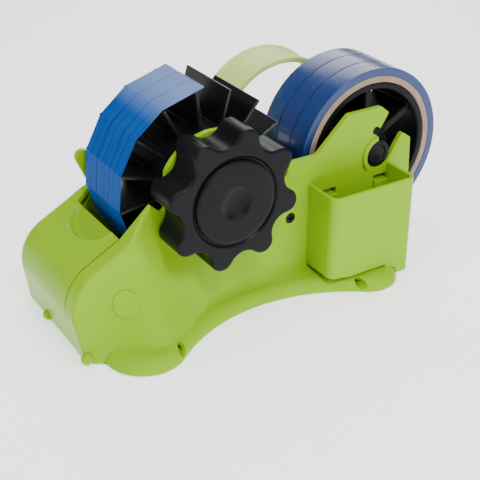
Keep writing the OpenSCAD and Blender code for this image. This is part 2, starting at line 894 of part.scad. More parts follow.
module side_pocket() {
    corner_r = 5;
    back = -wall_out - fit_gap;
    front = back - pocket_d;
    leg_z = rim_z + 1;
    leg_from = skirt_rear_x + side_gap + side_gap - pocket_x;
    color(green) difference() {
        union() {
            translate([pocket_x, front, pocket_z]) pocket_block(0, pocket_top - pocket_z, corner_r);
            if (pocket_l - leg_from > pocket_t) translate([pocket_x, front, leg_z]) intersection() {
                pocket_block(0, pocket_z - leg_z + fit_gap, corner_r);
                translate([leg_from, -cut, 0]) cube([pocket_l, pocket_d + 2 * cut, pocket_z]);
            }
            for (x = hook_at) translate([x - hook_w / 2, 0, 0]) {
                translate([0, back - fit_gap, hook_low])
                    cube([hook_w, wall_t + hook_t + 3 * fit_gap + slip, hook_t]);
                translate([0, -wall_in + slip, hook_low - hook_drop]) cube([hook_w, hook_t, hook_drop + hook_t]);
            }
        }
        translate([pocket_x, front, pocket_z + pocket_t]) pocket_block(pocket_t, pocket_top, corner_r);
        translate([pocket_x + pocket_t, back - 2 * pocket_t, pocket_back_top])
            cube([pocket_l - 2 * pocket_t, 3 * pocket_t, pocket_top]);
    }
}

// Plan of the pocket with its two rounded outer corners, moved in by inset
module pocket_block(inset, h, corner) {
    r = corner - inset;
    linear_extrude(h) union() {
        translate([inset, corner]) square([pocket_l - 2 * inset, pocket_d - corner - inset]);
        translate([corner, inset]) square([pocket_l - 2 * corner, pocket_d - 2 * inset]);
        for (x = [corner, pocket_l - corner]) translate([x, corner]) circle(r = r);
    }
}

right_shell();
left_shell();
shell_screws();
hand_loop();
loop_screws();
foot_pads();
guide_bar();
tape_web();
blade_pin();
blade_spring();
paddle_drum();
drum_fins();
drum_shaft();
turning_knob();
knob_cap();
knob_screw();
shaft_clip();
cut_tape();
spool_axle();
axle_caps();
spool_hub();
tape_core(0);  // tape_core_1
tape_core(1);  // tape_core_2
tape_core(2);  // tape_core_3
tape_roll(0);  // tape_roll_1
tape_roll(1);  // tape_roll_2
tape_roll(2);  // tape_roll_3
blade_arm();
cutting_blade();
blade_clamp();
blade_screws();
side_pocket();
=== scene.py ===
import math

import bmesh
import bpy
from mathutils import Matrix, Vector


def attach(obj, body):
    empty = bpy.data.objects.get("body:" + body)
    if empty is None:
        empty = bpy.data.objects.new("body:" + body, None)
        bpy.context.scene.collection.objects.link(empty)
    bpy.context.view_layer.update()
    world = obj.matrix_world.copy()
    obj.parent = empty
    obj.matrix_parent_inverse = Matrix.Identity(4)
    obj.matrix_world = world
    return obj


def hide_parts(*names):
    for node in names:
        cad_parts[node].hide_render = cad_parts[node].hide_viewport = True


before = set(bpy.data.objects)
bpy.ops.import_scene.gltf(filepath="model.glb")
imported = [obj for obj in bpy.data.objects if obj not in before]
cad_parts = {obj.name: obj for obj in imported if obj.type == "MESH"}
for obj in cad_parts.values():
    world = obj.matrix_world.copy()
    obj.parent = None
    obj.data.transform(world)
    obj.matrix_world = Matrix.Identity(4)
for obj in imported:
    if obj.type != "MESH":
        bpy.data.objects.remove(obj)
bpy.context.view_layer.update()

# Sizes in millimetres, in the frame of the part's source. Side-view points are (x, z).
MM = 0.001
WALL_OUT = 27
WALL_IN = 24
RIM_Z = 1
DECK_TOP = 14.5
DECK_LOW = 12
DECK_FRONT = -111
DECK_BACK = 92.8
NOSE = Vector((-92.48, 26))
NOSE_R = 24
NOSE_TOP = 118
NOSE_LOW = 190
NOSE_FLAT = 20
CHEEK = Vector((16.5, 15))
DRUM = Vector((-34, 72.5))
LOBE_R = 30
AXLE = Vector((70.5, 65))
SEAT_R = 7.95
MOUTH_A = 57
MOUTH_HALF = 8.15
SCREW_SPOTS = [(-70.5, 6.5), (42, 6.5), (12.9, 41.6)]
WELL_R = 3.05
SCREW_POST_R = 4.5
LIP_WELLS = [(-70.5, 5.2), (42, 5.2)]
LIP_WELL_R = 2.6
FRONT_FOOT = Vector((-83.5, 42))
FRONT_FOOT_R = 20.98
REAR_FOOT = Vector((53.5, 42))
REAR_FOOT_R = 17.6
REAR_FALL = 3
REAR_PAD_X = 55
WAIST = Vector((-12.27, 128.3))
WAIST_R = 90.9
PAD_Y = 44

# How the shell is dressed
NEAR_EDGE_R = 1.8
FAR_EDGE_R = 3.5
PARTING_Y = 25
NOSE_SINK = 0.3
LIP_R = 7
LEDGE_RISE = 1.4
LEDGE_BLEND = 3
TOE_RISE = 37
TOE_OUT = 28
TOE_BLEND = 9
TOE_SWELL = 1.5
TOE_FALL = 1.6
NOSE_SPREAD = 0.62
NOSE_FOOT = 10
NOSE_END_X = -110
TIP_FROM_X = -100
TIP_GROW = 8
WAIST_TURN = -10
CHEEK_BULGE = 7
CHEEK_FADE = 20
CHEEK_FROM_X = -40
CHEEK_GROW = 40
KNOB_CLEAR_R = 34.5
SKIN = 2.4
PROUD = 0.02
SHAFT_HOLE_R = 5.3
BADGE = (-90.6, 29)
BADGE_R = 6.6
NEAR_NUB_Y = -37
MIDDLE_NUB_Y = 10


# Small helpers for points


def polar(centre, radius, degrees):
    angle = math.radians(degrees)
    return Vector((centre[0] + radius * math.cos(angle), centre[1] + radius * math.sin(angle)))


def arc(centre, radius, first, last, steps):
    return [polar(centre, radius, first + (last - first) * i / steps) for i in range(steps + 1)]


def circle(centre, radius, count):
    """Points once round, without a doubled end."""
    return arc(centre, radius, 0, 360 - 360 / count, count - 1)


def span(start, end, steps):
    return [start.lerp(end, i / steps) for i in range(steps + 1)]


def smooth(share):
    share = min(max(share, 0.0), 1.0)
    return share * share * (3 - 2 * share)


def rounded(corners, steps=5):
    """A closed path through corners (x, z, radius), with each corner rounded."""
    path = []
    count = len(corners)
    for i, corner in enumerate(corners):
        here = Vector(corner[:2])
        radius = corner[2]
        if radius == 0:
            path.append(here)
            continue
        back = (Vector(corners[i - 1][:2]) - here).normalized()
        on = (Vector(corners[(i + 1) % count][:2]) - here).normalized()
        half = math.acos(max(-1.0, min(1.0, back.dot(on)))) / 2
        centre = here + (back + on).normalized() * (radius / math.sin(half))
        first = here + back * (radius / math.tan(half)) - centre
        last = here + on * (radius / math.tan(half)) - centre
        start = math.degrees(math.atan2(first.y, first.x))
        turn = math.degrees(math.atan2(first.x * last.y - first.y * last.x, first.dot(last)))
        path += arc(centre, radius, start, start + turn, steps)
    return path


# Small helpers for meshes


def verts_of(made):
    return [g for g in made if isinstance(g, bmesh.types.BMVert)]


def edges_of(made):
    return [g for g in made if isinstance(g, bmesh.types.BMEdge)]


def face_outward(bm):
    bmesh.ops.recalc_face_normals(bm, faces=bm.faces[:])


def draw_out(bm, faces, move):
    """Extrudes faces by move, and gives what that made."""
    made = bmesh.ops.extrude_face_region(bm, geom=faces)["geom"]
    bmesh.ops.translate(bm, vec=move, verts=verts_of(made))
    return made


def bevel_edges(bm, edges, width, segments=2):
    bmesh.ops.bevel(
        bm,
        geom=edges,
        offset=width,
        offset_type="OFFSET",
        segments=segments,
        profile=0.5,
        affect="EDGES",
        clamp_overlap=True,
        loop_slide=False,
        material=-1,
    )


def corner_edges(bm, least=40):
    limit = math.radians(least)
    return [e for e in bm.edges if e.is_manifold and e.calc_face_angle(0) > limit]


def rims_at(bm, y):
    return [e for e in corner_edges(bm, 60) if all(abs(v.co.y - y) < 0.001 for v in e.verts)]


def chain(bm, points, y):
    verts = [bm.verts.new((p[0], y, p[1])) for p in points]
    return [bm.edges.new((verts[i - 1], verts[i])) for i in range(1, len(verts))]


def side_loop(bm, points, y):
    verts = [bm.verts.new((p[0], y, p[1])) for p in points]
    return [bm.edges.new((verts[i - 1], verts[i])) for i in range(len(verts))]


def slab(outline, y0, y1, holes=(), edge=0.5, segments=2):
    """A plate with a side-view outline and holes, from y0 to y1, with softened edges."""
    bm = bmesh.new()
    edges = side_loop(bm, outline, y0)
    for hole in holes:
        edges += side_loop(bm, hole, y0)
    bmesh.ops.triangle_fill(bm, use_beauty=True, use_dissolve=False, edges=edges)
    bmesh.ops.dissolve_limit(bm, angle_limit=0.01, verts=bm.verts[:], edges=bm.edges[:])
    draw_out(bm, bm.faces[:], (0, y1 - y0, 0))
    face_outward(bm)
    if edge:
        rims = [e for e in corner_edges(bm, 60) if abs(e.verts[0].co.y - e.verts[1].co.y) < 0.001]
        bevel_edges(bm, rims, edge, segments)
    return bm


def block(low, high, edge=0.4, segments=2):
    bm = bmesh.new()
    low = Vector(low)
    high = Vector(high)
    place = Matrix.Translation((low + high) / 2) @ Matrix.Diagonal((*(high - low), 1))
    bmesh.ops.create_cube(bm, size=1, matrix=place)
    if edge:
        bevel_edges(bm, bm.edges[:], edge, segments)
    return bm


def rod(spot, radius, y0, y1, edge=0.4, sides=32):
    bm = bmesh.new()
    turn = Matrix.Rotation(math.radians(90), 4, "X")
    place = Matrix.Translation((spot[0], (y0 + y1) / 2, spot[1])) @ turn
    bmesh.ops.create_cone(
        bm, cap_ends=True, segments=sides, radius1=radius, radius2=radius, depth=y1 - y0, matrix=place
    )
    if edge:
        bevel_edges(bm, corner_edges(bm), edge)
    return bm


def spin_round(bm, centre, axis, steps):
    """Spins a profile once round an axis and closes the seam."""
    whole = bm.verts[:] + bm.edges[:]
    bmesh.ops.spin(
        bm, geom=whole, cent=centre, axis=axis, angle=2 * math.pi, steps=steps, use_merge=True
    )
    bmesh.ops.remove_doubles(bm, verts=bm.verts[:], dist=0.0005)
    face_outward(bm)


def turned(profile, spot, steps=96, closed=True):
    """A ring about the Y axis through spot, from a profile of (radius, y) points."""
    bm = bmesh.new()
    verts = [bm.verts.new((spot[0] + r, y, spot[1])) for r, y in profile]
    first = 0 if closed else 1
    for i in range(first, len(verts)):
        bm.edges.new((verts[i - 1], verts[i]))
    spin_round(bm, (spot[0], 0, spot[1]), (0, 1, 0), steps)
    return bm


def soft_ring(r_in, r_out, y0, y1, edge):
    """A ring's profile with its four corners cut by edge."""
    return [
        (r_in + edge, y0), (r_out - edge, y0), (r_out - edge * 0.3, y0 + edge * 0.3),
        (r_out, y0 + edge), (r_out, y1 - edge), (r_out - edge * 0.3, y1 - edge * 0.3),
        (r_out - edge, y1), (r_in + edge, y1), (r_in, y1 - edge), (r_in, y0 + edge),
    ]


def add(bm, other):
    """Puts another mesh into this one."""
    mesh = bpy.data.meshes.new("joined")
    other.to_mesh(mesh)
    other.free()
    bm.from_mesh(mesh)
    bpy.data.meshes.remove(mesh)


def put_in(name, data):
    """A new object in the scene."""
    made = bpy.data.objects.new(name, data)
    bpy.context.scene.collection.objects.link(made)
    return made


def thickened(bm, thickness):
    """Gives an open skin its thickness, inwards from its faces."""
    mesh = bpy.data.meshes.new("skin")
    bm.to_mesh(mesh)
    bm.free()
    skin = put_in("skin", mesh)
    wall = skin.modifiers.new("wall", "SOLIDIFY")
    wall.thickness = thickness
    wall.offset = -1
    wall.use_even_offset = False
    bpy.context.view_layer.update()
    solid = bpy.data.meshes.new_from_object(skin.evaluated_get(bpy.context.evaluated_depsgraph_get()))
    bpy.data.objects.remove(skin)
    bpy.data.meshes.remove(mesh)
    made = bmesh.new()
    made.from_mesh(solid)
    bpy.data.meshes.remove(solid)
    return made


def clean(bm, dist=0.002):
    """Merges points that fell together, and takes out empty faces and faces inside a solid."""
    bmesh.ops.remove_doubles(bm, verts=bm.verts[:], dist=dist)
    bmesh.ops.dissolve_degenerate(bm, edges=bm.edges[:], dist=dist)
    inside = [f for f in bm.faces if all(len(e.link_faces) > 2 for e in f.edges)]
    bmesh.ops.delete(bm, geom=inside, context="FACES")
    face_outward(bm)


def joined(parts):
    bm = bmesh.new()
    for part in parts:
        add(bm, part)
    return bm


def mirror_side(bm):
    bmesh.ops.scale(bm, vec=(1, -1, 1), verts=bm.verts[:])
    bmesh.ops.reverse_faces(bm, faces=bm.faces[:])


def piece(name, bm, body, material, nodes=(), sharp=38):
    bmesh.ops.scale(bm, vec=(MM, MM, MM), verts=bm.verts[:])
    mesh = bpy.data.meshes.new(name)
    bm.to_mesh(mesh)
    bm.free()
    mesh.materials.append(material)
    mesh.shade_smooth()
    mesh.set_sharp_from_angle(angle=math.radians(sharp))
    made = put_in(name, mesh)
    even = made.modifiers.new("even_shading", "WEIGHTED_NORMAL")
    even.keep_sharp = True
    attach(made, body)
    if nodes:
        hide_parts(*nodes)
    return made


# Materials


def new_material(name, roughness, **sockets):
    material = bpy.data.materials.new(name)
    material.use_nodes = True
    shader = material.node_tree.nodes["Principled BSDF"]
    shader.inputs["Roughness"].default_value = roughness
    for socket, value in sockets.items():
        shader.inputs[socket.replace("_", " ")].default_value = value
    return material, shader


def mould_grain_group():
    """Mottle and fine grain of a moulded surface, as values from 0 to 1."""
    group = bpy.data.node_groups.new("mould grain", "ShaderNodeTree")
    group.interface.new_socket("Mottle scale", in_out="INPUT", socket_type="NodeSocketFloat")
    group.interface.new_socket("Grain scale", in_out="INPUT", socket_type="NodeSocketFloat")
    group.interface.new_socket("Mottle", in_out="OUTPUT", socket_type="NodeSocketFloat")
    group.interface.new_socket("Grain", in_out="OUTPUT", socket_type="NodeSocketFloat")
    nodes = group.nodes
    links = group.links
    taken = nodes.new("NodeGroupInput")
    given = nodes.new("NodeGroupOutput")
    place = nodes.new("ShaderNodeTexCoord")
    mottle = nodes.new("ShaderNodeTexNoise")
    mottle.inputs["Detail"].default_value = 3
    grain = nodes.new("ShaderNodeTexNoise")
    grain.inputs["Detail"].default_value = 2
    links.new(place.outputs["Object"], mottle.inputs["Vector"])
    links.new(place.outputs["Object"], grain.inputs["Vector"])
    links.new(taken.outputs["Mottle scale"], mottle.inputs["Scale"])
    links.new(taken.outputs["Grain scale"], grain.inputs["Scale"])
    links.new(mottle.outputs["Fac"], given.inputs["Mottle"])
    links.new(grain.outputs["Fac"], given.inputs["Grain"])
    return group


MOULD_GRAIN = mould_grain_group()


def mould_grain(tree, mottle_scale, grain_scale):
    grain = tree.nodes.new("ShaderNodeGroup")
    grain.node_tree = MOULD_GRAIN
    grain.inputs["Mottle scale"].default_value = mottle_scale
    grain.inputs["Grain scale"].default_value = grain_scale
    return grain


def ramp_between(tree, value, low, high, start=0.3, end=0.7):
    """A colour between low and high as value goes from start to end."""
    ramp = tree.nodes.new("ShaderNodeValToRGB")
    ramp.color_ramp.elements[0].position = start
    ramp.color_ramp.elements[0].color = (*low, 1)
    ramp.color_ramp.elements[1].position = end
    ramp.color_ramp.elements[1].color = (*high, 1)
    tree.links.new(value, ramp.inputs["Fac"])
    return ramp.outputs["Color"]


def range_between(tree, value, low, high):
    scaled = tree.nodes.new("ShaderNodeMapRange")
    scaled.inputs["From Min"].default_value = 0.3
    scaled.inputs["From Max"].default_value = 0.7
    scaled.inputs["To Min"].default_value = low
    scaled.inputs["To Max"].default_value = high
    tree.links.new(value, scaled.inputs["Value"])
    return scaled.outputs["Result"]


def add_bump(tree, shader, height, strength, distance):
    bump = tree.nodes.new("ShaderNodeBump")
    bump.inputs["Strength"].default_value = strength
    bump.inputs["Distance"].default_value = distance
    tree.links.new(height, bump.inputs["Height"])
    tree.links.new(bump.outputs["Normal"], shader.inputs["Normal"])


def moulded_plastic(name, low, high, rough_low, rough_high, grain_scale=900, bump=0.12, **sockets):
    material, shader = new_material(name, rough_low, **sockets)
    tree = material.node_tree
    grain = mould_grain(tree, 14, grain_scale)
    colour = ramp_between(tree, grain.outputs["Mottle"], low, high)
    tree.links.new(colour, shader.inputs["Base Color"])
    rough = range_between(tree, grain.outputs["Mottle"], rough_low, rough_high)
    tree.links.new(rough, shader.inputs["Roughness"])
    add_bump(tree, shader, grain.outputs["Grain"], bump, 0.0002)
    return material


def brushed_steel(name, scale, low=(0.5, 0.5, 0.52), high=(0.72, 0.73, 0.75)):
    """Steel with fine lines. They run along the axes where scale is small."""
    material, shader = new_material(name, 0.3, Metallic=1.0)
    tree = material.node_tree
    place = tree.nodes.new("ShaderNodeTexCoord")
    turn = tree.nodes.new("ShaderNodeMapping")
    turn.inputs["Scale"].default_value = scale
    lines = tree.nodes.new("ShaderNodeTexNoise")
    lines.inputs["Scale"].default_value = 1
    lines.inputs["Detail"].default_value = 3
    tree.links.new(place.outputs["Object"], turn.inputs["Vector"])
    tree.links.new(turn.outputs["Vector"], lines.inputs["Vector"])
    colour = ramp_between(tree, lines.outputs["Fac"], low, high)
    tree.links.new(colour, shader.inputs["Base Color"])
    tree.links.new(range_between(tree, lines.outputs["Fac"], 0.22, 0.4), shader.inputs["Roughness"])
    add_bump(tree, shader, lines.outputs["Fac"], 0.1, 0.0001)
    return material


def round_rings(tree, spot, pitch):
    """Fine rings about the Y axis through spot, as a value from 0 to 1."""
    place = tree.nodes.new("ShaderNodeTexCoord")
    centre = tree.nodes.new("ShaderNodeMapping")
    centre.inputs["Location"].default_value = (-spot[0] * MM, 0, -spot[1] * MM)
    centre.inputs["Scale"].default_value = (1, 0, 1)
    tree.links.new(place.outputs["Object"], centre.inputs["Vector"])
    away = tree.nodes.new("ShaderNodeVectorMath")
    away.operation = "LENGTH"
    tree.links.new(centre.outputs["Vector"], away.inputs[0])
    count = tree.nodes.new("ShaderNodeMath")
    count.operation = "MULTIPLY"
    count.inputs[1].default_value = 1 / (pitch * MM)
    tree.links.new(away.outputs["Value"], count.inputs[0])
    rings = tree.nodes.new("ShaderNodeTexNoise")
    rings.noise_dimensions = "1D"
    rings.inputs["Scale"].default_value = 1
    rings.inputs["Detail"].default_value = 2
    tree.links.new(count.outputs["Value"], rings.inputs["W"])
    return rings.outputs["Fac"]


def wound_film(name, low, high):
    material, shader = new_material(name, 0.25, Coat_Weight=0.35, Coat_Roughness=0.2, Specular_IOR_Level=0.3)
    tree = material.node_tree
    rings = round_rings(tree, AXLE, 0.35)
    grain = mould_grain(tree, 60, 400)
    tree.links.new(ramp_between(tree, rings, low, high), shader.inputs["Base Color"])
    rough = range_between(tree, grain.outputs["Mottle"], 0.18, 0.34)
    tree.links.new(rough, shader.inputs["Roughness"])
    add_bump(tree, shader, rings, 0.35, 0.0002)
    return material


def layered_card(name):
    material, shader = new_material(name, 0.85)
    tree = material.node_tree
    rings = round_rings(tree, AXLE, 0.5)
    grain = mould_grain(tree, 160, 1500)
    layers = ramp_between(tree, rings, (0.24, 0.16, 0.11), (0.37, 0.27, 0.20))
    fibres = ramp_between(tree, grain.outputs["Mottle"], (0.75, 0.75, 0.75), (1, 1, 1))
    blend = tree.nodes.new("ShaderNodeMix")
    blend.data_type = "RGBA"
    blend.blend_type = "MULTIPLY"
    blend.inputs["Factor"].default_value = 0.7
    tree.links.new(layers, blend.inputs["A"])
    tree.links.new(fibres, blend.inputs["B"])
    tree.links.new(blend.outputs["Result"], shader.inputs["Base Color"])
    add_bump(tree, shader, grain.outputs["Grain"], 0.4, 0.0002)
    return material


def gloss_film(name, low, high, pale):
    """Thin blue tape with faint drawn lines round the drum; near its top the colour turns pale, a painted
    reflection of the bright light above.
    """
    material, shader = new_material(name, 0.2, Specular_IOR_Level=0.012)
    tree = material.node_tree
    place = tree.nodes.new("ShaderNodeTexCoord")
    stretch = tree.nodes.new("ShaderNodeMapping")
    stretch.inputs["Scale"].default_value = (30, 700, 30)
    lines = tree.nodes.new("ShaderNodeTexNoise")
    lines.inputs["Scale"].default_value = 1
    lines.inputs["Detail"].default_value = 2
    tree.links.new(place.outputs["Object"], stretch.inputs["Vector"])
    tree.links.new(stretch.outputs["Vector"], lines.inputs["Vector"])
    # The pale colour mixed in by height on the tape's top facets is a painted reflection, not a tint of the
    # tape.
    parts = tree.nodes.new("ShaderNodeSeparateXYZ")
    tree.links.new(place.outputs["Object"], parts.inputs["Vector"])
    height = tree.nodes.new("ShaderNodeMapRange")
    height.inputs["From Min"].default_value = 0.109
    height.inputs["From Max"].default_value = 0.119
    tree.links.new(parts.outputs["Z"], height.inputs["Value"])
    painted_reflection_mix = tree.nodes.new("ShaderNodeMix")
    painted_reflection_mix.data_type = "RGBA"
    tree.links.new(height.outputs["Result"], painted_reflection_mix.inputs["Factor"])
    tree.links.new(ramp_between(tree, lines.outputs["Fac"], low, high), painted_reflection_mix.inputs["A"])
    painted_reflection_mix.inputs["B"].default_value = (*pale, 1)
    tree.links.new(painted_reflection_mix.outputs["Result"], shader.inputs["Base Color"])
    tree.links.new(range_between(tree, lines.outputs["Fac"], 0.14, 0.28), shader.inputs["Roughness"])
    add_bump(tree, shader, lines.outputs["Fac"], 0.06, 0.0002)
    return material


LIME = (0.21, 0.41, 0.004)
BRIGHT_LIME = (0.24, 0.45, 0.006)
JET = (0.004, 0.004, 0.005)
SOOT = (0.007, 0.007, 0.008)
GREEN = moulded_plastic("green plastic", LIME, BRIGHT_LIME, 0.24, 0.32, Specular_IOR_Level=0.07)
PALE_GREEN = moulded_plastic(
    "pale green plastic", (0.50, 0.62, 0.16), (0.55, 0.67, 0.20), 0.40, 0.48, Specular_IOR_Level=0.3
)
BLACK = moulded_plastic("black plastic", JET, SOOT, 0.30, 0.40, 1400, 0.2, Specular_IOR_Level=0.1)
GLOSS_BLACK = moulded_plastic("gloss black plastic", JET, SOOT, 0.18, 0.28, Specular_IOR_Level=0.3)
RUBBER = moulded_plastic("rubber", (0.016, 0.016, 0.016), (0.028, 0.028, 0.028), 0.75, 0.9, 700, 0.6)
STEEL_ROD = brushed_steel("drawn steel", (900, 20, 900))
STEEL_FLAT = brushed_steel("ground steel", (60, 900, 60))
DARK_STEEL = brushed_steel("blackened steel", (60, 900, 60), (0.02, 0.02, 0.02), (0.05, 0.05, 0.05))
# The last colour is the painted reflection on the tape's top facets.
BLUE_FILM = gloss_film("blue tape", (0.001, 0.045, 0.22), (0.002, 0.075, 0.32), (0.13, 0.20, 0.40))
BLUE_WINDING = wound_film("wound blue tape", (0.004, 0.018, 0.09), (0.008, 0.035, 0.16))
CARD = layered_card("layered card")


# Shell


def skirt_reach(x, inset):
    """How far the skirt stands out of the wall where its rim is drawn in by inset."""
    front_r = FRONT_FOOT_R - inset
    rear_r = REAR_FOOT_R - inset
    front_join = FRONT_FOOT.x + front_r * (WAIST.x - FRONT_FOOT.x) / (WAIST_R + FRONT_FOOT_R)
    rear_join = REAR_FOOT.x + rear_r * (WAIST.x - REAR_FOOT.x) / (WAIST_R + REAR_FOOT_R)
    rear_end = REAR_FOOT.x + rear_r
    if x <= FRONT_FOOT.x - front_r:
        return -LEDGE_BLEND
    if x <= front_join:
        return FRONT_FOOT.y - WALL_OUT + math.sqrt(max(front_r**2 - (x - FRONT_FOOT.x) ** 2, 0))
    if x <= rear_join:
        return WAIST.y - WALL_OUT - math.sqrt((WAIST_R + inset) ** 2 - (x - WAIST.x) ** 2)
    if x <= rear_end:
        return REAR_FOOT.y - WALL_OUT + math.sqrt(max(rear_r**2 - (x - REAR_FOOT.x) ** 2, 0))
    side = REAR_FOOT.y - WALL_OUT + LEDGE_BLEND
    return side * math.sqrt(max(1 - ((x - rear_end) / REAR_FALL) ** 2, 0)) - LEDGE_BLEND


def foot_line(x):
    """How far the side stands out of the wall just above the lip."""
    nose = NOSE_FOOT + NOSE_SPREAD * (x - NOSE_END_X)
    toe = TOE_OUT * smooth((x - WAIST_TURN) / (FRONT_FOOT.x - WAIST_TURN)) ** TOE_SWELL
    blend = max(TOE_BLEND - abs(nose - toe), 0)
    return min(nose, toe) - blend * blend / (4 * TOE_BLEND)


def lean(x, z):
    """How far the side stands out of the wall above the lip: the nose is wide and flows out to the toe."""
    from_drum = math.hypot(x - DRUM.x, z - DRUM.y)
    off_knob = smooth((from_drum - KNOB_CLEAR_R) / CHEEK_FADE)
    cheek = CHEEK_BULGE * off_knob * smooth((CHEEK_FROM_X - x) / CHEEK_GROW)
    lip_top = RIM_Z + LIP_R
    rise = min(max((z - lip_top) / TOE_RISE, 0), 1)
    below = max(lip_top - z, 0) / LIP_R
    spread = max(foot_line(x) - cheek, 0) * (1 - rise) ** TOE_FALL
    tip = below * smooth((TIP_FROM_X - x) / TIP_GROW)
    return cheek + spread + tip


def flare(x, z):
    """How far the shell's side stands out: a rounded lip, a ledge, then the leaning side."""
    up = max(z - RIM_Z, 0) / LIP_R
    if up < 1:
        ledge = skirt_reach(x, LIP_R * (1 - math.sqrt(1 - up * up)))
    else:
        ledge = skirt_reach(x, LIP_R)
        if ledge > 0:
            ledge *= 1 - (z - RIM_Z - LIP_R) / LEDGE_RISE
    side = lean(x, z)
    blend = max(LEDGE_BLEND - abs(ledge - side), 0)
    return max(ledge, side) + blend * blend / (4 * LEDGE_BLEND)


NOSE_OUT = polar((0, 0), 1, NOSE_TOP)
NOSE_ALONG = polar((0, 0), 1, NOSE_TOP - 90)
NOSE_DOWN = polar((0, 0), 1, NOSE_LOW + 90)
SLOT_EDGE = polar(NOSE, NOSE_R, NOSE_TOP) + NOSE_ALONG * NOSE_FLAT
CHEEK_OUT = Vector((-CHEEK.y, CHEEK.x)).normalized()


def nose_line(inset, arc_steps=26, flat_steps=30):
    """The nose from the table up to the tape slot, moved in by inset."""
    radius = NOSE_R - inset
    low = polar(NOSE, radius, NOSE_LOW)
    top = polar(NOSE, radius, NOSE_TOP)
    foot = low + NOSE_DOWN * ((low.y - RIM_Z) / -NOSE_DOWN.y)
    slot = top + NOSE_ALONG * NOSE_FLAT
    bend = arc(NOSE, radius, NOSE_LOW, NOSE_TOP, arc_steps)
    return span(foot, low, 8)[:-1] + bend + span(top, slot, flat_steps)[1:]


def cheek_line(inset, steps=8):
    return [SLOT_EDGE + CHEEK * (i / steps) - CHEEK_OUT * inset for i in range(1, steps + 1)]


def sheet_cuts():
    """Where the side sheet is cut into a grid: closer where the skirt turns faster."""
    across = [FRONT_FOOT.x - FRONT_FOOT_R * math.cos(math.radians(7.5 * i)) for i in range(20)]
    across += [-112.5 + 1.6 * i for i in range(5)]
    across += [-75 + 2 * i for i in range(13)]
    across += [-46 + 4 * i for i in range(22)]
    across += [REAR_FOOT.x + REAR_FOOT_R * math.cos(math.radians(7.5 * i)) for i in range(17)]
    across += [REAR_FOOT.x + REAR_FOOT_R + REAR_FALL * math.sin(math.radians(18 * i)) for i in range(1, 6)]
    up = [RIM_Z + LIP_R * math.sin(math.radians(9 * i)) for i in range(1, 11)]
    up += [RIM_Z + LIP_R + 0.2 * i for i in range(1, 20)]
    up += [12.5 + 1.5 * i for i in range(14)]
    up += [34 + 2 * i for i in range(19)]
    return across, up


def cut_through(bm, spot, normal):
    everything = bm.verts[:] + bm.edges[:] + bm.faces[:]
    bmesh.ops.bisect_plane(bm, geom=everything, dist=0.01, plane_co=spot, plane_no=normal)


def row_key(co):
    return tuple(round(c, 3) for c in co)


def side_key(co):
    return round(co.x, 3), round(co.z, 3)


def push_row(bm, edges, move):
    """Extrudes a chain of edges and puts each new point where move says."""
    made = bmesh.ops.extrude_edge_only(bm, edges=edges)["geom"]
    fresh = set(verts_of(made))
    for v in fresh:
        v.co = move(v.co.copy())
    return [e for e in edges_of(made) if all(v in fresh for v in e.verts)]


def roll_edge(bm, edges, radius):
    """Rolls the nose's edge over: rows of a quarter circle from the side towards the middle."""
    outward = {}
    for e in edges:
        a, b = e.verts
        run = b.co - a.co
        out = Vector((run.z, 0, -run.x)).normalized()
        if out.dot(e.link_faces[0].calc_center_median() - a.co) > 0:
            out.negate()
        for v in e.verts:
            outward[v] = outward.get(v, Vector()) + out
    homes = {}
    for v, out in outward.items():
        homes[row_key(v.co)] = (v.co.copy(), out.normalized())
    steps = 7
    for i in range(1, steps + 1):
        angle = math.pi / 2 * i / steps
        moved = {}

        def around(co):
            start, out = homes[row_key(co)]
            place = start + out * (radius * math.sin(angle))
            place.y += radius * (1 - math.cos(angle))
            moved[row_key(place)] = (start, out)
            return place

        edges = push_row(bm, edges, around)
        homes = moved
    return edges, {(key[0], key[2]): out for key, (start, out) in homes.items()}


SCOOP_LONG = 13
SCOOP_HALF = 18.5
SCOOP_MIDDLE = -3
SCOOP_DIP = math.tan(math.radians(12))
SCOOP_EDGE = 1.6
SCOOP_WALL = 1.6
SCOOP_RIM_H = 0.9
SCOOP_RIM_AT = 0.9
SCOOP_RIM_W = 0.8


def scoop_depth(co):
    """How far the finger scoop sinks the nose at a point; its rim stands up a little."""
    back = (SLOT_EDGE - Vector((co.x, co.z))).dot(NOSE_ALONG)
    away = SCOOP_LONG * math.hypot(back / SCOOP_LONG, (co.y - SCOOP_MIDDLE) / SCOOP_HALF)
    sink = (SCOOP_EDGE + max(back, 0) * SCOOP_DIP) * smooth((SCOOP_LONG - away) / SCOOP_WALL)
    from_rim = (away - SCOOP_LONG - SCOOP_RIM_AT) / SCOOP_RIM_W
    rim = SCOOP_RIM_H * math.exp(-(from_rim**2))
    return sink - rim


def nose_skin(bm, edges):
    """Carries the rolled edge across the nose to the other side's edge, with the scoop pressed in."""
    gap = 1.3
    rows = 72
    before = set(bm.verts)
    starts = {side_key(v.co): v.co.y for e in edges for v in e.verts}
    for i in range(1, rows + 1):

        def across(co, share=i / rows):
            start = starts[side_key(co)]
            return Vector((co.x, start + (PARTING_Y - gap - start) * share, co.z))

        edges = push_row(bm, edges, across)
    for v in bm.verts:
        if v not in before:
            sink = scoop_depth(v.co)
            v.co.x -= NOSE_OUT.x * sink
            v.co.z -= NOSE_OUT.y * sink


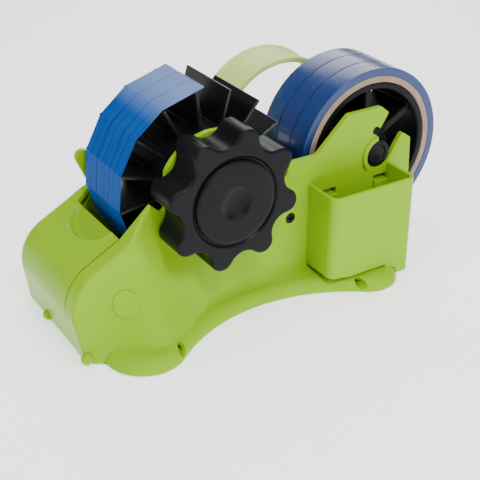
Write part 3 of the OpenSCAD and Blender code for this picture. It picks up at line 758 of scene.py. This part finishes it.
def side_sheet(far):
    """A side's skirt, its flowing nose side and the rolled nose edge, as a skin.

    The far side, built here as a near one, also carries the skin over the nose.
    """
    edge_r = FAR_EDGE_R if far else NEAR_EDGE_R
    inset = edge_r + (NOSE_SINK if far else 0)
    edge_path = nose_line(inset) + cheek_line(inset)
    inner = [(-64.5, 66), (-56, 47), (-9, 46), (-9, 13), (76.5, 13), (76.5, RIM_Z)]
    bm = bmesh.new()
    edges = side_loop(bm, edge_path + [Vector(p) for p in inner], -WALL_OUT)
    for e in edges[1 : len(edge_path)]:
        e.seam = True
    wells = [] if far else LIP_WELLS
    for spot in wells:
        edges += side_loop(bm, circle(spot, LIP_WELL_R, 24), -WALL_OUT)
    bmesh.ops.triangle_fill(bm, use_beauty=True, use_dissolve=False, edges=edges)
    across, up = sheet_cuts()
    for x in across:
        cut_through(bm, (x, 0, 0), (1, 0, 0))
    for z in up:
        cut_through(bm, (0, 0, z), (0, 0, 1))
    slanted = []
    for e in bm.edges:
        run = e.verts[0].co - e.verts[1].co
        if len(e.link_faces) == 2 and abs(run.x) > 0.001 and abs(run.z) > 0.001:
            slanted.append(e)
    bmesh.ops.dissolve_edges(bm, edges=slanted, use_verts=False)
    bmesh.ops.remove_doubles(bm, verts=bm.verts[:], dist=0.03)
    straight = math.radians(179)
    uneven = [f for f in bm.faces if len(f.verts) > 4 or max(c.calc_angle() for c in f.loops) > straight]
    bmesh.ops.triangulate(bm, faces=uneven, quad_method="BEAUTY", ngon_method="BEAUTY")
    for v in bm.verts:
        v.co.y = -WALL_OUT - max(flare(v.co.x, v.co.z), PROUD)
    rolled, outward = roll_edge(bm, [e for e in bm.edges if e.seam and e.is_boundary], edge_r)
    if far:
        over_nose = [e for e in rolled if all(v.co.x < SLOT_EDGE.x + 0.6 for v in e.verts)]
        over_cheek = [e for e in rolled if e not in set(over_nose)]
        push_row(bm, over_cheek, lambda co: Vector((co.x, max(co.y, -WALL_IN), co.z)))
        nose_skin(bm, over_nose)
    else:
        lip = 1.4
        band = push_row(bm, rolled, lambda co: Vector((co.x, -PARTING_Y, co.z)))
        push_row(bm, band, lambda co: co - outward[side_key(co)] * lip)
    face_outward(bm)
    facing = sum(f.normal.y * f.calc_area() for f in bm.faces if f.calc_center_median().y < -WALL_OUT)
    if facing > 0:
        bmesh.ops.reverse_faces(bm, faces=bm.faces[:])
    bm = thickened(bm, SKIN)
    for v in bm.verts:
        v.co.z = max(v.co.z, RIM_Z)
    clean(bm)
    return bm


def lip_well(spot):
    """The lining of a screw hole, from the wall out to the lip's surface."""
    wall_end = -WALL_OUT + 0.1
    lip_end = wall_end - 1
    outer_r = LIP_WELL_R + 0.5
    profile = [(LIP_WELL_R, wall_end), (LIP_WELL_R, lip_end), (outer_r, lip_end), (outer_r, wall_end)]
    bm = turned(profile, spot, 24)
    for v in bm.verts:
        if v.co.y < wall_end - 0.5:
            v.co.y = -WALL_OUT - flare(v.co.x, v.co.z) + 0.3
    face_outward(bm)
    return bm


def along_mouth(side, reach):
    """A point on the axle mouth's edge: side is 1 for the hook and -1 for the horn."""
    out = polar((0, 0), MOUTH_HALF * side, MOUTH_A + 90)
    return AXLE + out + polar((0, 0), reach, MOUTH_A)


def wall_outline(ear):
    """The wall with the drum's lobe, the spool bracket and its open hook, inset at the nose.

    The far wall also has an ear that stands up beside the tape slot.
    """
    relief = AXLE + Vector((-2.5, 14))
    seat = arc(AXLE, SEAT_R, MOUTH_A - 90, MOUTH_A - 270, 26)
    hook_tip = along_mouth(1, 22.3)
    horn_tip = along_mouth(-1, 16.4)
    peak = SLOT_EDGE + CHEEK
    corners = [(93, RIM_Z, 0), (93, 50.3, 3), (92.3, 70.1, 2.5), (*horn_tip, 1.5)]
    corners += [(*p, 0) for p in seat]
    corners += [(*p, 0) for p in arc(relief, 2.5, -84, -342, 14)]
    corners += [(*hook_tip, 1.2), (70.5, 92.5, 2.5), (48.5, 92.5, 3), (29, 74, 4), (11.5, 74, 1.2)]
    corners += [(9.5, 66.3, 2)]
    corners += [(*p, 0) for p in arc(DRUM, LOBE_R, -9.5, 152, 44)]
    corners += [(-62, 64.5, 1.5)]
    if ear:
        foot = SLOT_EDGE + Vector((13, 6))
        tip = foot + Vector((-7.4, 17.4))
        side = Vector((17.4, 7.4)).normalized() * 4
        corners += [(*(foot + side + Vector((1, 4))), 2)]
        corners += [(*p, 0) for p in arc(tip, 4, 23, 203, 10)]
        corners += [(*(foot - side), 0)]
    else:
        corners += [(peak.x + 0.6, peak.y - 0.4, 0), (peak.x - 0.4, peak.y - 3.6, 0)]
    corners += [(*p, 0) for p in reversed(nose_line(6.5, 12, 2))]
    return rounded(corners)


HOOK_SPOTS = (37.5, 72.5)


def pocket_slots():
    half = 4.8
    low = 46.95
    top = 52.55
    corner = 0.8
    slots = []
    for x in HOOK_SPOTS:
        box = [(x - half, low, corner), (x + half, low, corner)]
        box += [(x + half, top, corner), (x - half, top, corner)]
        slots.append(rounded(box, 3))
    return slots


def hook_collar(r_in, r_out, first, last, y0, y1):
    path = arc(AXLE, r_in, first, last, 24) + arc(AXLE, r_out, last, first, 24)
    return slab(path, y0, y1, edge=0.4)


def hook_rib():
    """The raised rib round the near hook, on the outer side of the wall."""
    return hook_collar(8.7, 11.2, 100, 222, -WALL_OUT - 1.4, -WALL_OUT + 0.5)


def seat_collar():
    """The rib round the axle's seat, on the inner side of the wall."""
    return hook_collar(SEAT_R, 9.85, 150, 326, -WALL_IN - 0.5, -WALL_IN + 1.4)


def shaft_collar():
    return turned(soft_ring(SHAFT_HOLE_R, 9, -WALL_IN - 0.5, -21.4, 0.4), DRUM, 48)


def pad_bosses():
    bosses = []
    top = 6.5
    low_r = 8
    top_r = 7.6
    for x in (FRONT_FOOT.x, REAR_PAD_X):
        bm = bmesh.new()
        place = Matrix.Translation((x, -PAD_Y, (RIM_Z + top) / 2))
        bmesh.ops.create_cone(
            bm, cap_ends=True, segments=36, radius1=low_r, radius2=top_r, depth=top - RIM_Z, matrix=place
        )
        bosses.append(bm)
    return bosses


def nub(y):
    """The small round foot at the bottom of the nose."""
    x = -112.4
    radius = 3
    bm = bmesh.new()
    place = Matrix.Translation((x, y, RIM_Z + radius))
    bmesh.ops.create_uvsphere(bm, u_segments=24, v_segments=14, radius=radius, matrix=place)
    return bm


def make_right_shell():
    holes = pocket_slots()
    holes.append(circle(DRUM, SHAFT_HOLE_R, 30))
    holes += [circle(spot, WELL_R, 24) for spot in SCREW_SPOTS]
    parts = [slab(wall_outline(False), -WALL_OUT, -WALL_IN, holes, edge=0.9, segments=3)]
    parts.append(side_sheet(False))
    parts += [lip_well(spot) for spot in LIP_WELLS]
    badge = rod(BADGE, BADGE_R, -WALL_OUT - 0.9, -WALL_OUT + 1.5, 0.35, 48)
    for v in badge.verts:
        v.co.y -= flare(v.co.x, v.co.z)
    parts.append(badge)
    parts.append(nub(NEAR_NUB_Y))
    parts.append(hook_rib())
    parts.append(seat_collar())
    parts.append(shaft_collar())
    parts += pad_bosses()
    return piece("right_shell_moulding", joined(parts), "body", GREEN, ["right_shell"])


def make_left_shell():
    holes = [circle(DRUM, SHAFT_HOLE_R, 30)]
    mirrored = [slab(wall_outline(True), -WALL_OUT, -WALL_IN, holes, edge=0.6)]
    mirrored.append(side_sheet(True))
    mirrored.append(seat_collar())
    mirrored.append(shaft_collar())
    mirrored += pad_bosses()
    bm = joined(mirrored)
    mirror_side(bm)
    add(bm, block((DECK_FRONT, -WALL_IN + 0.2, DECK_LOW), (DECK_BACK, WALL_IN + 1, DECK_TOP), 0.4))
    for spot in SCREW_SPOTS:
        add(bm, rod(spot, SCREW_POST_R, -WALL_IN + 0.1, WALL_IN + 1, 0.4))
    add(bm, nub(MIDDLE_NUB_Y))
    return piece("left_shell_moulding", bm, "body", GREEN, ["left_shell"])


# Hand loop, pocket, feet and small hardware of the body


def make_hand_loop():
    middle = Vector((46, 65))
    r_out = 42
    r_in = r_out - 3
    near_y = 30
    far_y = 56.5
    foot_z = 50
    leg = 15
    lug_half = 5.9
    section = [
        (r_in, near_y + 0.4), (r_in + 0.4, near_y), (r_out - 0.4, near_y), (r_out, near_y + 0.4),
        (r_out, near_y + 1.8), (r_out - 0.9, near_y + 2.6), (r_out - 0.9, far_y - 2.6),
        (r_out, far_y - 1.8), (r_out, far_y - 0.4), (r_out - 0.4, far_y), (r_in + 0.4, far_y),
        (r_in, far_y - 0.4),
    ]
    bm = bmesh.new()
    verts = [bm.verts.new((middle.x + r, y, foot_z)) for r, y in section]
    end = [bm.faces.new(verts)]
    made = draw_out(bm, end, (0, 0, leg))
    faces = [g for g in made if isinstance(g, bmesh.types.BMFace)]
    whole = faces + list({e for f in faces for e in f.edges}) + list({v for f in faces for v in f.verts})
    spun = bmesh.ops.spin(
        bm, geom=whole, cent=(middle.x, 0, middle.y), axis=(0, -1, 0), angle=math.pi, steps=48
    )["geom_last"]
    last = [g for g in spun if isinstance(g, bmesh.types.BMFace)]
    draw_out(bm, last, (0, 0, -leg))
    clean(bm)
    for x in (middle.x - r_out + 6, middle.x + r_out - 6):
        low = (x - lug_half, WALL_OUT, foot_z + 0.1)
        high = (x + lug_half, WALL_OUT + 9, middle.y)
        add(bm, block(low, high, 0.8, 3))
    return piece("hand_loop_band", bm, "body", PALE_GREEN, ["hand_loop"])


POCKET_LEFT = 24
POCKET_RIGHT = 79
POCKET_BACK = -27.05
POCKET_FRONT = -50.05
POCKET_CORNER_R = 5


def pocket_path(inset):
    """The pocket's outer walls in plan, from the left back corner round the front."""
    left = POCKET_LEFT + inset
    right = POCKET_RIGHT - inset
    front = POCKET_FRONT + inset
    radius = POCKET_CORNER_R - inset
    path = [(left, POCKET_BACK)] + list(arc((left + radius, front + radius), radius, 180, 270, 8))
    path += list(arc((right - radius, front + radius), radius, 270, 360, 8)) + [(right, POCKET_BACK)]
    return [Vector(p) for p in path]


def upright(plan, z0, z1, edge):
    """A plan outline drawn up from z0 to z1, with its rims softened."""
    bm = bmesh.new()
    face = bm.faces.new([bm.verts.new((p[0], p[1], z0)) for p in plan])
    draw_out(bm, [face], (0, 0, z1 - z0))
    face_outward(bm)
    rims = [e for e in corner_edges(bm, 60) if abs(e.verts[0].co.z - e.verts[1].co.z) < 0.001]
    bevel_edges(bm, rims, edge, 3)
    return bm


def pocket_apron():
    """The front wall's lower part, cut to clear the rear foot's rounded end."""
    gap = 0.5
    low = RIM_Z + 1
    over = 9.6
    left = 31
    right = 76
    top = 13
    lip_top = RIM_Z + LIP_R
    steps = 8
    front = PROUD - POCKET_FRONT
    outline = [(left, 10.7), (left + 5, over)]
    for i in range(steps + 1):
        z = lip_top - (lip_top - low) * i / steps
        up = (z - RIM_Z) / LIP_R
        radius = REAR_FOOT_R - LIP_R * (1 - math.sqrt(1 - up * up))
        x = REAR_FOOT.x + math.sqrt(radius**2 - (front - REAR_FOOT.y) ** 2) + gap
        if i == 0:
            outline.append((x, over))
        outline.append((x, z))
    outline += [(right, low), (right, top), (left, top)]
    return slab(outline, -front, -front + 2, edge=0)


def make_side_pocket():
    wall = 2
    low = 10.6
    top = 58.5
    hook_half = 4.5
    hook_top = 49.5
    back_in = POCKET_BACK - wall
    parts = [upright(pocket_path(0) + pocket_path(wall)[::-1], low, top, 0.5)]
    leg = [(75.6, -27.1), (75.6, -49.8)] + arc((74, -45.05), 4.95, -70, 0, 6) + [(78.95, -27.1)]
    parts.append(upright(leg, RIM_Z + 1, 13.3, 0.3))
    parts.append(pocket_apron())
    parts.append(upright(pocket_path(0.1), 13.05, 15, 0.3))
    parts.append(block((25, back_in, 13.1), (78, POCKET_BACK, 43.5), 0.4))
    for x in HOOK_SPOTS:
        left = x - hook_half
        right = x + hook_half
        parts.append(block((left, back_in, 42), (right, POCKET_BACK, hook_top), 0.4))
        parts.append(block((left, -28, 47), (right, -21.3, hook_top), 0.3))
        parts.append(block((left, -23.7, 44.5), (right, -21.2, hook_top - 0.1), 0.3))
    return piece("side_pocket_box", joined(parts), "pocket", GREEN, ["side_pocket"])


def cross_outline(spot, arm, half):
    plus = []
    for turn in range(4):
        for p in ((half, -half), (arm, -half), (arm, half)):
            angle = math.radians(90 * turn)
            x = p[0] * math.cos(angle) - p[1] * math.sin(angle)
            z = p[0] * math.sin(angle) + p[1] * math.cos(angle)
            plus.append((spot[0] + x, spot[1] + z))
    return plus


def cross_head(spot, radius, y0, y1):
    """A screw head facing -Y with a cross pressed in, and the cross's floor let into the head."""
    arm = radius * 0.62
    half = radius * 0.16
    let_in = 0.1
    bm = slab(circle(spot, radius, 24), y0, y1, [cross_outline(spot, arm, half)], edge=0)
    bevel_edges(bm, rims_at(bm, y0), 0.2)
    floor = cross_outline(spot, arm + let_in, half + let_in)
    add(bm, slab(floor, y0 + (y1 - y0) * 0.7, y1 - let_in, edge=0))
    return bm


def make_shell_screws():
    head_r = 2.75
    shank_r = 1.5
    head_end = -WALL_OUT + 1.6
    point = -WALL_OUT + 19.6
    parts = []
    for spot in SCREW_SPOTS:
        parts.append(cross_head(spot, head_r, -WALL_OUT, head_end))
        parts.append(rod(spot, shank_r, head_end - 0.1, point, 0.3, 20))
    return piece("cross_head_screws", joined(parts), "body", DARK_STEEL, ["shell_screws"])


def make_foot_pads():
    ribs = [(0, 0.15), (1.2, 0.15), (1.5, 0), (2.6, 0), (2.9, 0.25), (3.7, 0.25), (4, 0), (5, 0)]
    ribs += [(5.3, 0.25), (5.9, 0.25), (6.1, 0), (6.7, 0), (7, 0.25), (7, 1), (0, 1)]
    parts = []
    for x in (FRONT_FOOT.x, REAR_PAD_X):
        for y in (-PAD_Y, PAD_Y):
            bm = bmesh.new()
            verts = [bm.verts.new((x + r, y, z)) for r, z in ribs]
            for i in range(1, len(verts)):
                bm.edges.new((verts[i - 1], verts[i]))
            spin_round(bm, (x, y, 0), (0, 0, 1), 40)
            parts.append(bm)
    return piece("ribbed_pads", joined(parts), "body", RUBBER, ["foot_pads"])


def make_blade_spring():
    """A close coil round the blade's pin."""
    pivot = Vector((-84.5, 20.3))
    wire = 0.45
    coil_r = 3.4
    turns = 5
    steps = 24 * turns
    y0 = 14.6
    length = 4.8
    bm = bmesh.new()
    turn = Matrix.Translation((pivot.x + coil_r, y0, pivot.y))
    bmesh.ops.create_circle(bm, cap_ends=True, segments=10, radius=wire, matrix=turn)
    bmesh.ops.spin(
        bm, geom=bm.verts[:] + bm.edges[:] + bm.faces[:], cent=(pivot.x, 0, pivot.y), axis=(0, 1, 0),
        dvec=(0, length / steps, 0), angle=2 * math.pi * turns, steps=steps,
    )
    face_outward(bm)
    return piece("coil_spring", bm, "body", STEEL_ROD, ["blade_spring"])


# Drum, knob and tape


FILM_R = 48.209
FIN_R = 48
FIN_COUNT = 16
FIN_PITCH = 360 / FIN_COUNT
FIN_TOP = 95.8
TAPE_HALF = 19.5
STRIP_W = 13
STRIP_GAP = 0.4
ROLL_COUNT = 3
STRIP_LIP = 5.5
STRIP_TAIL = 0.4
WEB_R = 50.68


def strip_start(i):
    return -TAPE_HALF + STRIP_W * i + STRIP_GAP / 2


def set_round(bm, spot, degrees):
    """Turns a piece made along X about the Y axis, and carries it to spot."""
    turn = Matrix.Rotation(math.radians(-degrees), 4, "Y")
    place = Matrix.Translation((spot.x, 0, spot.y)) @ turn
    bmesh.ops.transform(bm, matrix=place, verts=bm.verts[:])


def make_paddle_drum():
    bore_r = 5.05
    boss_r = 9
    tube_in = 25.5
    tube_out = 28
    tube = turned(soft_ring(tube_in, tube_out, -20, 20, 0.3), DRUM, 90)
    web = turned(soft_ring(bore_r, tube_in + 0.5, -2, 2, 0.3), DRUM, 90)
    boss = turned(soft_ring(bore_r, boss_r, -21, 21, 0.5), DRUM, 48)
    bm = joined([tube, web, boss])
    return piece("drum_body", bm, "drum", BLACK, ["paddle_drum"])


def make_drum_fins():
    fin_half = 0.8
    foot_half = 1.7
    parts = []
    for k in range(FIN_COUNT):
        fin = block((26.8, -21, -fin_half), (FIN_R, 21, fin_half), 0.45, 3)
        foot = block((27.8, -20, -foot_half), (28.9, 20, foot_half), 0.5)
        add(fin, foot)
        set_round(fin, DRUM, FIN_TOP + FIN_PITCH * k)
        parts.append(fin)
    return piece("fin_plates", joined(parts), "drum", GLOSS_BLACK, ["drum_fins"])


KNOB_BACK = -28.5
KNOB_FACE = -48
KNOB_R = 37
LOBES = 8
SCALLOP_R = 9
SCALLOP_AT = 38
LOBE_ROUND = 6.155
KNOB_TOP = 76


def knob_outline():
    """Eight round lobes joined by hollow scallops, each arc tangent to the next."""
    pitch = 360 / LOBES
    lobe_at = KNOB_R - LOBE_ROUND
    lobe = Vector((lobe_at, 0))
    scallop = polar((0, 0), SCALLOP_AT, pitch / 2)
    half = math.degrees(math.atan2(scallop.y, scallop.x - lobe.x))
    path = []
    for k in range(LOBES):
        turn = KNOB_TOP + pitch * k
        centre = polar(DRUM, lobe_at, turn)
        path += arc(centre, LOBE_ROUND, turn - half, turn + half, 10)
        hollow = polar(DRUM, SCALLOP_AT, turn + pitch / 2)
        path += arc(hollow, SCALLOP_R, turn + half + 180, turn + pitch - half + 180, 10)[1:-1]
    return path


def make_knob():
    bm = bmesh.new()
    edges = side_loop(bm, knob_outline(), KNOB_BACK)
    bmesh.ops.edgeloop_fill(bm, edges=edges)
    draw_out(bm, bm.faces[:], (0, KNOB_FACE - KNOB_BACK, 0))
    face_outward(bm)
    rim = [e for e in bm.edges if all(abs(v.co.y - KNOB_FACE) < 0.001 for v in e.verts)]
    bevel_edges(bm, rim, 1.4, 4)
    bevel_edges(bm, rims_at(bm, KNOB_BACK), 0.8, 2)
    face = min(bm.faces, key=lambda f: f.calc_center_median().y)
    edges = list(face.edges)
    bmesh.ops.delete(bm, geom=[face], context="FACES_ONLY")
    groove = [(24.6, KNOB_FACE), (24.1, KNOB_FACE + 0.15), (23.7, KNOB_FACE + 0.5), (23.3, KNOB_FACE + 1.1)]
    groove += [(22.9, KNOB_FACE + 1.4), (21.2, KNOB_FACE + 1.4)]
    for radius, y in groove:

        def to_ring(co, radius=radius, y=y):
            out = Vector((co.x - DRUM.x, co.z - DRUM.y)).normalized() * radius
            return Vector((DRUM.x + out.x, y, DRUM.y + out.y))

        edges = push_row(bm, edges, to_ring)
    bmesh.ops.edgeloop_fill(bm, edges=edges)
    face_outward(bm)
    return piece("lobed_knob", bm, "drum", BLACK, ["turning_knob"])


def make_knob_cap():
    face = -48.8
    profile = [(0, face + 2), (4, face + 1.9), (6.4, face + 1.4), (7.6, face + 0.7), (8.4, face + 0.15)]
    profile += [(9.2, face), (19.8, face), (21, face + 0.15), (21.7, face + 0.6), (22, face + 1.4)]
    profile += [(22, -45.3), (0, -45.3)]
    bm = turned(profile, DRUM, 72, closed=False)
    return piece("dished_cap", bm, "drum", BLACK, ["knob_cap"])


def strip_tooth(y, y0):
    """The zigzag that the blade leaves on a cut end."""
    tooth = 1.05
    share = (y - y0) / tooth % 1
    return 0.9 * abs(2 * share - 1)


def make_cut_tape():
    """Three strips over the fin tips, creased at each fin, with a zigzag cut end."""
    parts = []
    columns = 24
    chords = 6
    film = 0.28
    for i in range(ROLL_COUNT):
        y0 = strip_start(i)
        width = STRIP_W - STRIP_GAP
        bm = bmesh.new()
        tips = [polar(DRUM, FILM_R, FIN_TOP + FIN_PITCH * k) for k in range(chords + 1)]
        tips[0] = polar(tips[0], STRIP_LIP, FIN_TOP - 90 + FIN_PITCH / 2)
        tips[-1] = tips[-2].lerp(tips[-1], STRIP_TAIL)
        path = [tips[0]]
        for k in range(chords):
            path += span(tips[k], tips[k + 1], 6)[1:]
        edges = chain(bm, path, y0)
        for k in range(columns):
            edges = push_row(bm, edges, lambda co: co + Vector((0, width / columns, 0)))
        end = (tips[1] - tips[0]).normalized()
        for v in bm.verts:
            if (Vector((v.co.x, v.co.z)) - tips[0]).length < 0.01:
                reach = strip_tooth(v.co.y, y0)
                v.co.x += end.x * reach
                v.co.z += end.y * reach
        face_outward(bm)
        outside = sum((f.calc_center_median() - Vector((DRUM.x, 0, DRUM.y))).dot(f.normal) for f in bm.faces)
        if outside < 0:
            bmesh.ops.reverse_faces(bm, faces=bm.faces[:])
        parts.append(thickened(bm, -film))
    return piece("cut_strips", joined(parts), "drum", BLUE_FILM, ["cut_tape"], 10)


def make_tape_web():
    """The run of tape from the rolls over the guide bar and under the drum."""
    bar = Vector((6, 23.3))
    roll_r = 46.4
    lift = 0.15
    film = 0.2
    end_a = -138
    run = bar - AXLE
    roll_a = math.degrees(math.atan2(run.y, run.x) + math.acos(roll_r / run.length))
    under = bar - DRUM
    drum_a = math.degrees(math.atan2(under.y, under.x) - math.acos(WEB_R / under.length))
    path = span(polar(AXLE, roll_r + lift, roll_a), bar + Vector((0, lift)), 10)
    path += arc(DRUM, WEB_R + lift, drum_a, end_a, 30)
    parts = []
    for i in range(ROLL_COUNT):
        y0 = strip_start(i)
        bm = bmesh.new()
        edges = chain(bm, path, y0)
        push_row(bm, edges, lambda co: co + Vector((0, STRIP_W - STRIP_GAP, 0)))
        face_outward(bm)
        parts.append(thickened(bm, film))
    return piece("running_tape", joined(parts), "body", BLUE_FILM, ["tape_web"], 20)


# Spool


def make_rolls():
    bore_r = 38
    core_r = 41.5
    roll_r = 46
    for i in range(ROLL_COUNT):
        y0 = strip_start(i)
        y1 = y0 + STRIP_W - STRIP_GAP
        winding = turned(soft_ring(core_r, roll_r, y0, y1, 0.35), AXLE, 128)
        piece(f"tape_winding_{i + 1}", winding, "spool", BLUE_WINDING, [f"tape_roll_{i + 1}"])
        core = turned(soft_ring(bore_r, core_r - PROUD, y0 + 0.1, y1 - 0.1, 0.25), AXLE, 128)
        piece(f"card_core_{i + 1}", core, "spool", CARD, [f"tape_core_{i + 1}"])


def make_spool_hub():
    half = 19
    spokes = 6
    parts = [turned(soft_ring(34.2, 37.7, -half, half, 0.6), AXLE, 96)]
    parts.append(turned(soft_ring(6.05, 12, -half, half, 0.6), AXLE, 64))
    for k in range(spokes):
        spoke = block((11, -15, -2), (36, 15, 2), 0.6, 3)
        add(spoke, block((33.2, -15, -4), (35.2, 15, 4), 0.9, 3))
        set_round(spoke, AXLE, 30 + 360 / spokes * k)
        parts.append(spoke)
    return piece("spoked_hub", joined(parts), "spool", BLACK, ["spool_hub"])


def make_axle_caps():
    parts = []
    for side in (-1, 1):
        y_in = 20.7 * side
        y_out = 26.5 * side
        rim = -0.9 * side
        cap_r = 7.75
        profile = [(0, y_out + rim * 0.6), (4.6, y_out + rim * 0.6), (5.2, y_out), (6.9, y_out)]
        profile += [(7.45, y_out + rim * 0.25), (cap_r, y_out + rim * 0.9), (cap_r, y_in), (0, y_in)]
        parts.append(turned(profile, AXLE, 56, closed=False))
    return piece("axle_end_caps", joined(parts), "axle", BLACK, ["axle_caps"])


def dress(node, material):
    """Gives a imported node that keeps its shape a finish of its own."""
    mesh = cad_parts[node].data
    mesh.materials.clear()
    mesh.materials.append(material)


make_right_shell()
make_left_shell()
make_hand_loop()
make_side_pocket()
make_shell_screws()
make_foot_pads()
make_blade_spring()
make_paddle_drum()
make_drum_fins()
make_knob()
make_knob_cap()
make_cut_tape()
make_tape_web()
make_rolls()
make_spool_hub()
make_axle_caps()
for node in ("drum_shaft", "knob_screw", "guide_bar", "blade_pin", "blade_screws", "loop_screws"):
    dress(node, STEEL_ROD)
for node in ("cutting_blade", "shaft_clip"):
    dress(node, STEEL_FLAT)
for node in ("blade_arm", "blade_clamp", "spool_axle"):
    dress(node, BLACK)


# Stage, light and camera


def make_floor():
    bm = bmesh.new()
    bmesh.ops.create_grid(bm, x_segments=2, y_segments=2, size=12)
    mesh = bpy.data.meshes.new("floor")
    bm.to_mesh(mesh)
    bm.free()
    floor = put_in("floor", mesh)
    glow = {"Emission_Color": (1, 1, 1, 1), "Emission_Strength": 1.1}
    material = moulded_plastic("pale floor", (0.88, 0.88, 0.88), (0.9, 0.9, 0.9), 0.7, 0.8, 50, 0.0, **glow)
    mesh.materials.append(material)


def make_world():
    world = bpy.data.worlds.new("studio")
    world.use_nodes = True
    sky = world.node_tree.nodes["Background"]
    sky.inputs["Color"].default_value = (1, 1, 1, 1)
    sky.inputs["Strength"].default_value = 0.28
    bpy.context.scene.world = world


def make_light(name, place, aim, size, power):
    data = bpy.data.lights.new(name, "AREA")
    data.shape = "RECTANGLE"
    data.size = size[0]
    data.size_y = size[1]
    data.energy = power
    light = put_in(name, data)
    light.location = place
    light.rotation_mode = "QUATERNION"
    light.rotation_quaternion = (Vector(aim) - Vector(place)).to_track_quat("-Z", "Y")


def make_camera():
    data = bpy.data.cameras.new("photo_camera")
    data.lens = 77.68
    data.sensor_width = 36
    right = Vector((0.8471, -0.5314, 0))
    up = Vector((0.2587, 0.4125, 0.8735))
    back = Vector((-0.4642, -0.7399, 0.4869))
    turn = Matrix((right, up, back)).transposed()
    camera = put_in("photo_camera", data)
    camera.location = (-0.2675, -0.4236, 0.2987)
    camera.rotation_mode = "QUATERNION"
    camera.rotation_quaternion = turn.to_quaternion()
    bpy.context.scene.camera = camera


make_floor()
make_world()
make_light("side", (-0.6, -0.1, 0.7), (0, 0, 0.05), (0.3, 0.3), 3)
make_light("top", (0.1, 0.15, 0.9), (0, 0, 0.05), (0.6, 0.6), 4)
make_light("front", (0.3, -0.9, 0.55), (0, 0, 0.05), (0.9, 0.9), 7)
make_light("key", (-0.12, -0.62, 0.8), (-0.04, 0, 0.05), (0.15, 0.15), 5)
make_light("back", (0.5, 0.8, 0.6), (0.03, 0, 0.08), (0.8, 0.5), 5)
make_camera()
